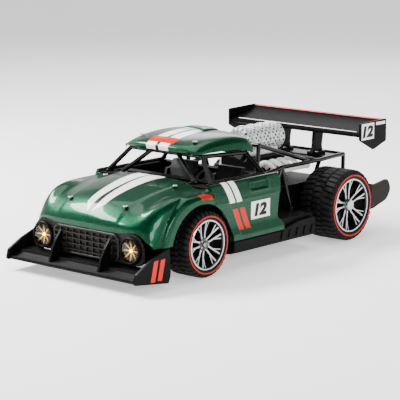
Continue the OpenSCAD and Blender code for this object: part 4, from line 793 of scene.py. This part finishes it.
# The lower edge between its stations follows the arch exactly.
edge_y = half[-1, :, 1]
inside_arch = np.abs(edge_y - arch_y) < arch_radius - 0.9
edge_z = np.where(inside_arch, arch_z + np.sqrt(np.maximum(arch_radius ** 2 - (edge_y - arch_y) ** 2, 0)), 22)
pull = np.linspace(0, 1, len(half))[:, None] ** 6
half[..., 2] += pull * (np.maximum(edge_z, 22) - half[-1, :, 2])[None, :]
# Many rounds of averaging each inner point with its neighbours take the ripple out between the guides.
for _ in range(150):
    mean = (half[:-2, 1:-1] + half[2:, 1:-1] + half[1:-1, :-2] + half[1:-1, 2:]) / 4
    half[1:-1, 1:-1] += 0.6 * (mean - half[1:-1, 1:-1])
    half[0, 1:-1, 1:] = half[1, 1:-1, 1:]
# A flare 7 mm wide and 0.95 mm high runs round the arch, with a groove 0.5 mm deep along its outer edge.
from_arch = np.hypot(half[..., 1] - arch_y, half[..., 2] - arch_z)
flare = np.clip((arch_radius + 7 - from_arch) / 0.9, 0, 1) * np.clip((half[..., 0] - 43) / 2, 0, 1)
groove = np.exp(-((from_arch - arch_radius - 7.6) / 0.6) ** 2) * np.clip((half[..., 0] - 42) / 3, 0, 1)
half[..., 0] += 0.95 * flare - 0.5 * groove
# The wheels stand 50 mm out, and the fenders stay 2.5 mm inside that.
half[..., 0] = np.minimum(half[..., 0], 47.5)
# The centre panel stands 0.45 mm proud of the fender valleys beside it.
way_back = np.clip((half[..., 1] - (fa - 44)) / 52, 0, 1)
off_panel = half[..., 0] - (22.5 + 4.0 * way_back)
half[..., 2] += 0.45 / (1 + np.exp(np.clip(off_panel / 0.22, -40,
                                           40))) * np.clip((half[..., 2] - 32) / 4, 0, 1)
mirror = np.array([-1, 1, 1])
hood_points = np.concatenate([(half * mirror)[:0:-1], half]).transpose(1, 0, 2)


def metallic_green(name):
    """Metallic lacquer under clear coat: a deep green that glitters faintly and mirrors the lamps."""
    made = finish(name, "#013822", 0.33, 0.7, Coat_Weight=0.34, Coat_Roughness=0.04, Coat_IOR=1.45,
                  Specular_IOR_Level=0.04)
    tree = made.node_tree
    shader = tree.nodes["Principled BSDF"]
    place = add(tree, "TexCoord")
    # The flakes are 0.35 mm across, coarser than real ones, so that they show.
    flake = add(tree, "TexVoronoi", {"Vector": place.outputs["Object"], "Scale": 1000 / 0.35})
    tone = add(tree, "ValToRGB", {"Fac": flake.outputs["Color"]})
    tone.color_ramp.elements[0].color = srgb("#00160d")
    tone.color_ramp.elements[1].color = srgb("#014d30")
    tilt = add(tree, "Bump", {"Height": flake.outputs["Distance"], "Strength": 0.12, "Distance": 0.00005})
    tree.links.new(tone.outputs["Color"], shader.inputs["Base Color"])
    tree.links.new(tilt.outputs["Normal"], shader.inputs["Normal"])
    return made, tree, shader, place, tone


def dull_film(tree, shader, masks):
    """Film is not metallic: takes the metal away where the largest of the masks is 1."""
    any_film = masks[0]
    for mask in masks[1:]:
        any_film = add(tree, "Math", [any_film, mask], operation="MAXIMUM")
    metal = add(tree, "Math", [any_film, -0.7, 0.7], operation="MULTIPLY_ADD")
    tree.links.new(metal.outputs[0], shader.inputs["Metallic"])


white_ink, black_ink, red_ink = srgb("#f4f4f1"), srgb("#070908"), srgb("#a51509")
hood_paint, tree, shader, place, tone = metallic_green("metallic green lacquer on hood")
axes = add(tree, "SeparateXYZ", [place.outputs["Object"]])
x, y, z = axes.outputs["X"], axes.outputs["Y"], axes.outputs["Z"]
across = add(tree, "Math", [x], operation="ABSOLUTE")
# The stripes narrow from the cowl to the nose. Their outer edges stand 10.6 mm out at the cowl.
ahead = add(tree, "Math", [add(tree, "Math", [(fa + 6) * mm, y], operation="SUBTRACT"), 0.0],
            operation="MAXIMUM")
outer = add(tree, "Math", [ahead, -0.088, 0.0106], operation="MULTIPLY_ADD")
# The black spear between them widens with the height above its point, 33.7 mm up, to a limit.
above = add(tree, "Math", [add(tree, "Math", [z, 0.0337], operation="SUBTRACT"), 0.0], operation="MAXIMUM")
spear = add(tree, "Math", [above, 0.30], operation="MULTIPLY")
spear_limit = add(tree, "Math", [ahead, 0.022, 0.0007], operation="MULTIPLY_ADD")
gap = add(tree, "Math", [spear, spear_limit], operation="MINIMUM")
off_gap = add(tree, "Math", [across, gap], operation="GREATER_THAN")
in_outer = add(tree, "Math", [across, outer], operation="LESS_THAN")
stripe = add(tree, "Math", [off_gap, in_outer], operation="MULTIPLY")
# Each stripe's front end is cut to a slant.
slant = add(tree, "Math", [across, 0.7, 0.0368], operation="MULTIPLY_ADD")
stripe = add(tree, "Math", [stripe, add(tree, "Math", [z, slant], operation="GREATER_THAN")],
             operation="MULTIPLY")
# A green pin line parts the spear from 22 mm ahead of the cowl on.
thin = add(tree, "Math", [across, 0.00028], operation="LESS_THAN")
far_ahead = add(tree, "Math", [ahead, 0.022], operation="GREATER_THAN")
off_pin = add(tree, "Math", [1.0, add(tree, "Math", [thin, far_ahead], operation="MULTIPLY")],
              operation="SUBTRACT")
in_gap = add(tree, "Math", [across, gap], operation="LESS_THAN")
line = add(tree, "Math", [in_gap, off_pin], operation="MULTIPLY")
# A plain red bar lies on each fender above the arch: a piece of a ring about the arch's centre.
from_y = add(tree, "Math", [y, arch_y * mm], operation="SUBTRACT")
from_z = add(tree, "Math", [z, arch_z * mm], operation="SUBTRACT")
turn = add(tree, "Math", [from_y, from_z], operation="ARCTAN2")
squares = [add(tree, "Math", [way, 2.0], operation="POWER") for way in (from_y, from_z)]
reach = add(tree, "Math", [add(tree, "Math", squares, operation="ADD")], operation="SQRT")
bar_turn = add(tree, "Math", [turn, 0.12, 0.17], operation="COMPARE")
bar_reach = add(tree, "Math", [reach, 0.0298, 0.0013], operation="COMPARE")
label = add(tree, "Math", [bar_turn, bar_reach], operation="MULTIPLY")
# It stays on the outer skin, more than 44.8 mm from the centre plane.
outside = add(tree, "Math", [across, 0.0448], operation="GREATER_THAN")
label = add(tree, "Math", [label, outside], operation="MULTIPLY")
colour = tone.outputs["Color"]
for mask, ink in ((stripe, white_ink), (label, red_ink), (line, black_ink)):
    colour = add(tree, "Mix", {"Factor": mask, "A": colour, "B": ink}, data_type="RGBA")
tree.links.new(colour.outputs["Result"], shader.inputs["Base Color"])
dull_film(tree, shader, [stripe, label])
piece("hood_shell", [sheet_of(hood_points, shell_wall)], [hood_paint], "chassis", ["body_front"])

# ---- Doors ---------------------------------------------------------------
# Two formed panels of the same lacquered sheet, clipped to the cockpit. Each
# has a recessed pull, two creases, film stripes and a white number square.

door_face = np.array([[42.8, 50.2], [44.0, 49.6], [45.2, 47.2], [46.0, 44.0], [46.4, 40.0], [46.45, 38.7],
                      [46.0, 38.1], [45.8, 33.0], [45.75, 28.0], [46.1, 23.6], [46.8, 21.6], [47.6, 19.6],
                      [47.8, 18.2], [47.8, 16.6]])
door_front = fa + 8.3
door_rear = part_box("left_door")[1].y / mm - 3.6


def door_x(height):
    """How far the door's skin stands from the centre plane at a height."""
    profile = through(door_face, 400)[::-1]
    return np.interp(height, profile[:, 1], profile[:, 0])


def door_skin(rows, cols):
    """Door surface: the profile's height against the way along, from the arch or shut line to the rear edge."""
    profile = through(door_face, cols)
    height = profile[:, 1]
    inside = np.clip(arch_radius ** 2 - (height - arch_z) ** 2, 0, None)
    start = np.where(height < arch_z + arch_radius, np.maximum(door_front, arch_y + np.sqrt(inside)),
                     door_front)
    end = np.interp(height, [10, 21, 24.6, 46, 60],
                    [door_rear + 4, door_rear + 4, door_rear, door_rear + 2.6, door_rear])
    way = np.linspace(0, 1, rows)[:, None]
    y = start + (end - start) * way
    x = np.broadcast_to(profile[:, 0], y.shape).copy()
    z = np.broadcast_to(height, y.shape).copy()
    # The pull is a pocket 15 mm long and 3 mm high, with a rounded lip round it.
    pull = np.maximum(np.abs(y - (fa + 48.8)) - 7.2, 0) ** 2 + np.maximum(np.abs(z - 45.2) - 1.2, 0) ** 2
    x -= 1.1 * np.exp(-(pull / 0.35) ** 2)
    x += 0.22 * np.exp(-((np.sqrt(pull) - 1.5) / 0.45) ** 2)
    # The flare round the arch runs on over the door's front edge, 0.35 mm proud.
    near_arch = np.hypot(y - arch_y, z - arch_z) - arch_radius
    x += 0.35 * np.clip((7 - near_arch) / 0.9, 0, 1)
    x = np.minimum(x, 47.8)
    return np.stack([x, y, z], -1)


door_paint, tree, shader, place, tone = metallic_green("metallic green lacquer on doors")
axes = add(tree, "SeparateXYZ", [place.outputs["Object"]])
y, z = axes.outputs["Y"], axes.outputs["Z"]
# The stripes lean back as they run down the door: two white ones above two red ones, 6 mm apart.
lean = add(tree, "Math", [z, 0.42, y], operation="MULTIPLY_ADD")
colour, masks = tone.outputs["Color"], []
for centre, half_width, level, half_height, ink in (
        (fa + 22.4 + 0.42 * 51, 0.0023, 0.0446, 0.0064, white_ink),
        (fa + 30.5 + 0.42 * 34.5, 0.0021, 0.0283, 0.0062, srgb("#c8170a"))):
    pair = [add(tree, "Math", [lean, centre * mm + shift, half_width], operation="COMPARE")
            for shift in (-0.0030, 0.0030)]
    height = add(tree, "Math", [z, level, half_height], operation="COMPARE")
    masks.append(add(tree, "Math", [add(tree, "Math", pair, operation="ADD"), height], operation="MULTIPLY"))
    colour = add(tree, "Mix", {"Factor": masks[-1], "A": colour, "B": ink}, data_type="RGBA")
tree.links.new(colour.outputs["Result"], shader.inputs["Base Color"])
dull_film(tree, shader, masks)


def flat_patch(u, v, at, rows=10, cols=10):
    """A film on a curved skin: at(u, v, lift) places its grid of points, 0.02 and 0.2 mm off the skin."""
    uu, vv = np.meshgrid(np.linspace(*u, cols), np.linspace(*v, rows))
    outer = at(uu, vv, 0.2).reshape(-1, 3)
    inner = at(uu, vv, 0.02).reshape(-1, 3)
    size = rows * cols
    edge = np.concatenate([np.arange(cols), np.arange(1, rows) * cols + cols - 1,
                           size - 2 - np.arange(cols - 1), np.arange(rows - 2, 0, -1) * cols])
    after = np.roll(edge, -1)
    rim = np.stack([edge, after, after + size, edge + size], -1).tolist()
    back = [f[::-1] for f in grid_faces(rows, cols, start=size)]
    return np.concatenate([outer, inner]), grid_faces(rows, cols) + back + rim


def digits(word, height, at, lift=0.28):
    """Slanted plain digits of that height, centred on the origin of at(u, v, lift), as a thin raised film."""
    letters = bpy.data.curves.new("digits", "FONT")
    letters.body = word
    letters.align_x = "CENTER"
    letters.align_y = "CENTER"
    letters.shear = 0.16
    letters.offset = 0.06
    letters.resolution_u = 6
    holder = bpy.data.objects.new("digits", letters)
    bpy.context.scene.collection.objects.link(holder)
    flat = bpy.data.meshes.new_from_object(holder)
    points = np.array([v.co for v in flat.vertices])
    faces = [list(p.vertices) for p in flat.polygons]
    edges = dict.fromkeys((a, b) for face in faces for a, b in zip(face, face[1:] + face[:1]))
    bpy.data.objects.remove(holder)
    scale = height / (points[:, 1].max() - points[:, 1].min())
    points = (points[:, :2] - (points[:, :2].max(0) + points[:, :2].min(0)) / 2) * scale * [1.3, 1]
    count = len(points)
    both = np.concatenate([at(points[:, 0], points[:, 1], lift), at(points[:, 0], points[:, 1], 0.05)])
    rim = [[b, a, a + count, b + count] for a, b in edges if (b, a) not in edges]
    return both, faces + [[v + count for v in f[::-1]] for f in faces] + rim


plate_y, plate_z = fa + 49.8, 31.4
for side, word in ((1, "left"), (-1, "right")):
    skin = door_skin(150, 130) * [side, 1, 1]
    piece(word + "_door_skin", [sheet_of(skin[:, ::side], 1.5)], [door_paint], "chassis", [word + "_door"])

    def on_door(u, v, lift, side=side):
        """Point of the door's skin, u mm to the onlooker's right and v mm up from the number's middle."""
        height = plate_z + v
        return np.stack([side * (door_x(height) + lift), plate_y + side * u,
                         np.broadcast_to(height, np.shape(u))], -1)

    number = piece(word + "_door_number", [(*flat_patch((-8.4, 8.4), (-5.1, 5.1), on_door, 16, 4), 0),
                                           (*digits("12", 7.4, on_door), 1)], [white_vinyl, black_vinyl],
                   "chassis")

# ---- Roof ----------------------------------------------------------------
# A formed roof panel with a low scoop, painted like the hood and screwed to
# the cage. The stripes carry on over it, with a red block at the front edge.

roof_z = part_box("roof_panel")[1].z / mm - 1.7
# Guide lines from the centre plane out: mm out, along from the front axle, and down from the roof's top.
roof_guides = [
    [[0, 12.8, 8], [0, 12.4, 5.2], [0, 17, 3], [0, 27, 1], [0, 38, 0],
     [0, 50, 0], [0, 58, 1], [0, 62, 2.8], [0, 64, 5.4]],
    [[14, 13.2, 8.1], [14, 12.9, 5.5], [14, 17.4, 3.4], [14, 27, 1.4], [14, 38, 0.4],
     [14, 50, 0.4], [14, 58, 1.4], [14, 62, 3.2], [14, 64, 5.8]],
    [[23, 14.2, 8.2], [23, 14.2, 6.4], [23, 18.4, 4.6], [23.4, 27, 2.9], [24, 38, 2],
     [24.6, 50, 2], [25, 58, 3], [25, 62, 4.6], [25, 63.8, 7]],
    [[26.4, 15.4, 8.4], [26.6, 15.8, 7.4], [27, 19, 6.8], [27.4, 27, 5.8], [28, 38, 5.2],
     [28.6, 50, 5.4], [29.2, 58, 6.4], [29.2, 61.6, 8], [29, 63.2, 9.6]],
    [[27, 16.4, 8.6], [27.2, 17, 8.7], [27.7, 20, 8.7], [28.2, 27, 8.7], [28.9, 38, 8.8],
     [29.5, 50, 9.4], [30, 58, 10.8], [30, 61, 11.6], [29.8, 62.4, 12.2]]]
roof = np.array(roof_guides)
roof[..., 1] += fa
roof[..., 2] = roof_z - roof[..., 2]
half = through(through(roof, 60).transpose(1, 0, 2), 110).transpose(1, 0, 2)
roof_points = np.concatenate([(half * mirror)[:0:-1], half]).transpose(1, 0, 2)
roof_paint, tree, shader, place, tone = metallic_green("metallic green lacquer on roof")
axes = add(tree, "SeparateXYZ", [place.outputs["Object"]])
x, y, z = axes.outputs["X"], axes.outputs["Y"], axes.outputs["Z"]
across = add(tree, "Math", [x], operation="ABSOLUTE")
# Two white stripes 7.2 mm wide have a black line 1.6 mm wide between them.
stripe = add(tree, "Math", [across, 0.0048, 0.0036], operation="COMPARE")
line = add(tree, "Math", [across, 0.0008], operation="LESS_THAN")
# The red block lies over both stripes near the front edge, on the upper side only.
block = add(tree, "Math", [y, (fa + 18.6) * mm, 0.0038], operation="COMPARE")
for value, limit, test in ((across, 0.0098, "LESS_THAN"), (z, (roof_z - 5.6) * mm, "GREATER_THAN")):
    block = add(tree, "Math", [block, add(tree, "Math", [value, limit], operation=test)],
                operation="MULTIPLY")
colour = tone.outputs["Color"]
for mask, ink in ((stripe, white_ink), (line, black_ink), (block, srgb("#c01a0a"))):
    colour = add(tree, "Mix", {"Factor": mask, "A": colour, "B": ink}, data_type="RGBA")
tree.links.new(colour.outputs["Result"], shader.inputs["Base Color"])
dull_film(tree, shader, [stripe, block])


def scoop_surface(rows, cols):
    """Scoop: a half-round arch across the roof whose height rises quickly and falls slowly along the car."""
    along = np.linspace(0, 1, rows)[:, None]
    around = np.linspace(0, math.pi, cols)[None, :]
    width = 9.0 - 1.2 * along ** 2
    rise = 2.5 * np.minimum(along / 0.12, 1) ** 0.5 * (1 - 0.75 * np.clip((along - 0.35) / 0.65, 0, 1) ** 1.6)
    x = -width * np.cos(around)
    y = fa + 42 + 17 * along + 0 * around
    base = roof_z - 0.7 - 1.1 * np.clip((along - 0.75) / 0.25, 0, 1)
    z = base + rise * np.sin(around) ** 0.45
    return np.stack([x, y, z], -1)


scoop_green = metallic_green("metallic green lacquer on scoop")[0]
scoop = scoop_surface(40, 48)
piece("roof_shell", [sheet_of(roof_points, shell_wall), (*sheet_of(scoop, 0.8), 1)],
      [roof_paint, scoop_green], "chassis", ["roof_panel"])

# ---- Body screws ---------------------------------------------------------
# Pan-head screws with a cross slot, zinc plated steel. Four hold the hood to
# its posts and two the roof to the cage.

left_places = ((21.3, -36, 42.1), (27, -1.8, 49.5), (20.5, 22.1, roof_z - 2.4))
screw_places = [(side * out, fa + along, up) for side in (1, -1) for out, along, up in left_places]
piece("body_screw_heads", [screw_head(p, "z", 1, 1.55, 0.62) for p in screw_places], [screw_steel], "chassis",
      ["body_screws"])

# ---- Wing ----------------------------------------------------------------
# A cambered blade of satin black plastic with an upturned lip, edged in red
# and white film. Two struts and two end plates, screwed and clipped, hold it.

wing_low, wing_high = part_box("wing_plane")
wing_half = wing_high.x / mm
wing_le, chord = wing_low.y / mm, 26.0
wing_z = 62.6
# The blade's section: its middle line rises to the rear, and it is thickest in its front half.
t = np.linspace(0, 1, 34)
middle = wing_z + 1.2 + 7 * t ** 1.7
thick = 0.55 + 1.5 * np.sin(math.pi * t ** 0.6) * (1 - 0.4 * t)
section = np.concatenate([np.column_stack([wing_le + chord * t, middle + thick]),
                          np.column_stack([wing_le + chord * t, middle - thick])[::-1]])
# Satin moulded ABS: nearly black, with a wide dull sheen on the flat top.
wing_black = grain(finish("satin black wing plastic", "#070606", 0.55, Specular_IOR_Level=0.02), 0.8, 0.015,
                   0.42, 0.56)
tree = wing_black.node_tree
shader = tree.nodes["Principled BSDF"]
axes = add(tree, "SeparateXYZ", [add(tree, "TexCoord").outputs["Object"]])
# A white film line 0.84 mm wide runs along the blade, 2.9 mm behind its front edge.
white_line = add(tree, "Math", [axes.outputs["Y"], (wing_le + 2.9) * mm, 0.00042], operation="COMPARE")
across = add(tree, "Math", [axes.outputs["X"]], operation="ABSOLUTE")
inboard = add(tree, "Math", [across, 0.0465], operation="LESS_THAN")
white_line = add(tree, "Math", [white_line, inboard], operation="MULTIPLY")
colour = add(tree, "Mix", {"Factor": white_line, "A": srgb("#0a0a0b"), "B": srgb("#e8e8e6")},
             data_type="RGBA")
tree.links.new(colour.outputs["Result"], shader.inputs["Base Color"])
lip = rounded([[wing_le + chord - 2.2, wing_z + 7], [wing_le + chord - 1.3, wing_z + 8.9],
               [wing_le + chord, wing_z + 8.9], [wing_le + chord, wing_z + 6.6]], 0.3, 4)
edge_film = rounded([[wing_le + chord - 1.75, wing_z + 8.35], [wing_le + chord - 1.4, wing_z + 9.02],
                     [wing_le + chord - 0.2, wing_z + 9.02], [wing_le + chord - 0.2, wing_z + 8.35]], 0.15, 3)
piece("wing_blade", [plate(section, -wing_half, wing_half), plate(lip, -wing_half, wing_half),
                     (*plate(edge_film, -wing_half, wing_half), 1)], [wing_black, red_vinyl], "chassis",
      ["wing_plane"])

end_outline = rounded([[ra + 3.9, wing_z + 8.7], [ra + 30.6, wing_z + 9.3], [ra + 30.8, wing_z - 4.3],
                       [ra + 17.7, wing_z - 8.6], [ra + 3.9, wing_z - 1.6]], 1.0)
ends = [plate(end_outline, side * wing_half, side * (wing_half + 1.38)) for side in (1, -1)]
piece("wing_end_plates", ends, [satin_black], "chassis", ["wing_endplates"], bevel=0.3)
number_y, number_z = ra + 11.4, wing_z + 3.3
for side, word in ((1, "left"), (-1, "right")):
    def on_end(u, v, lift, side=side):
        """Point of the end plate's face, u mm to the onlooker's right and v mm up from the number's middle."""
        return np.stack([np.full(np.shape(u), side * (wing_half + 1.36 + lift * 0.7)), number_y + side * u,
                         np.broadcast_to(number_z + v, np.shape(u))], -1)

    strip_low, strip_high = sorted((side * 8.4, side * 17.6))
    marks = piece(word + "_end_number", [(*flat_patch((-6.2, 6.2), (-4.9, 4.9), on_end, 3, 3), 0),
                                         (*digits("12", 7.2, on_end), 1),
                                         (*flat_patch((strip_low, strip_high), (3.0, 4.8), on_end, 3, 3), 0)],
                  [white_vinyl, black_vinyl], "chassis")

deck_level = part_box("wing_struts")[0].z / mm
strut_outline = rounded([[ra + 6.4, deck_level], [ra + 8.4, deck_level + 5], [ra + 9.2, wing_z + 0.1],
                         [ra + 18.4, wing_z + 1.6], [ra + 16.4, deck_level + 5], [ra + 17.4, deck_level]],
                        1.0)
struts, strut_screws = [], []
for side in (1, -1):
    struts.append(plate(strut_outline, side * 11.5, side * 13.7))
    struts.append(plate(rounded([[side * 8.6, ra + 7], [side * 16.6, ra + 7], [side * 16.6, ra + 17],
                                 [side * 8.6, ra + 17]], 1.4), deck_level, deck_level + 1.5, "z"))
    for x_place in (10, 15.2):
        for y_place in (9.2, 15):
            strut_screws.append((*screw_head([side * x_place, ra + y_place, deck_level + 1.5], "z", 1, 1.1,
                                             0.6), 1))
piece("wing_strut_plates", struts + strut_screws, [satin_black, screw_steel], "chassis", ["wing_struts"],
      bevel=0.2)
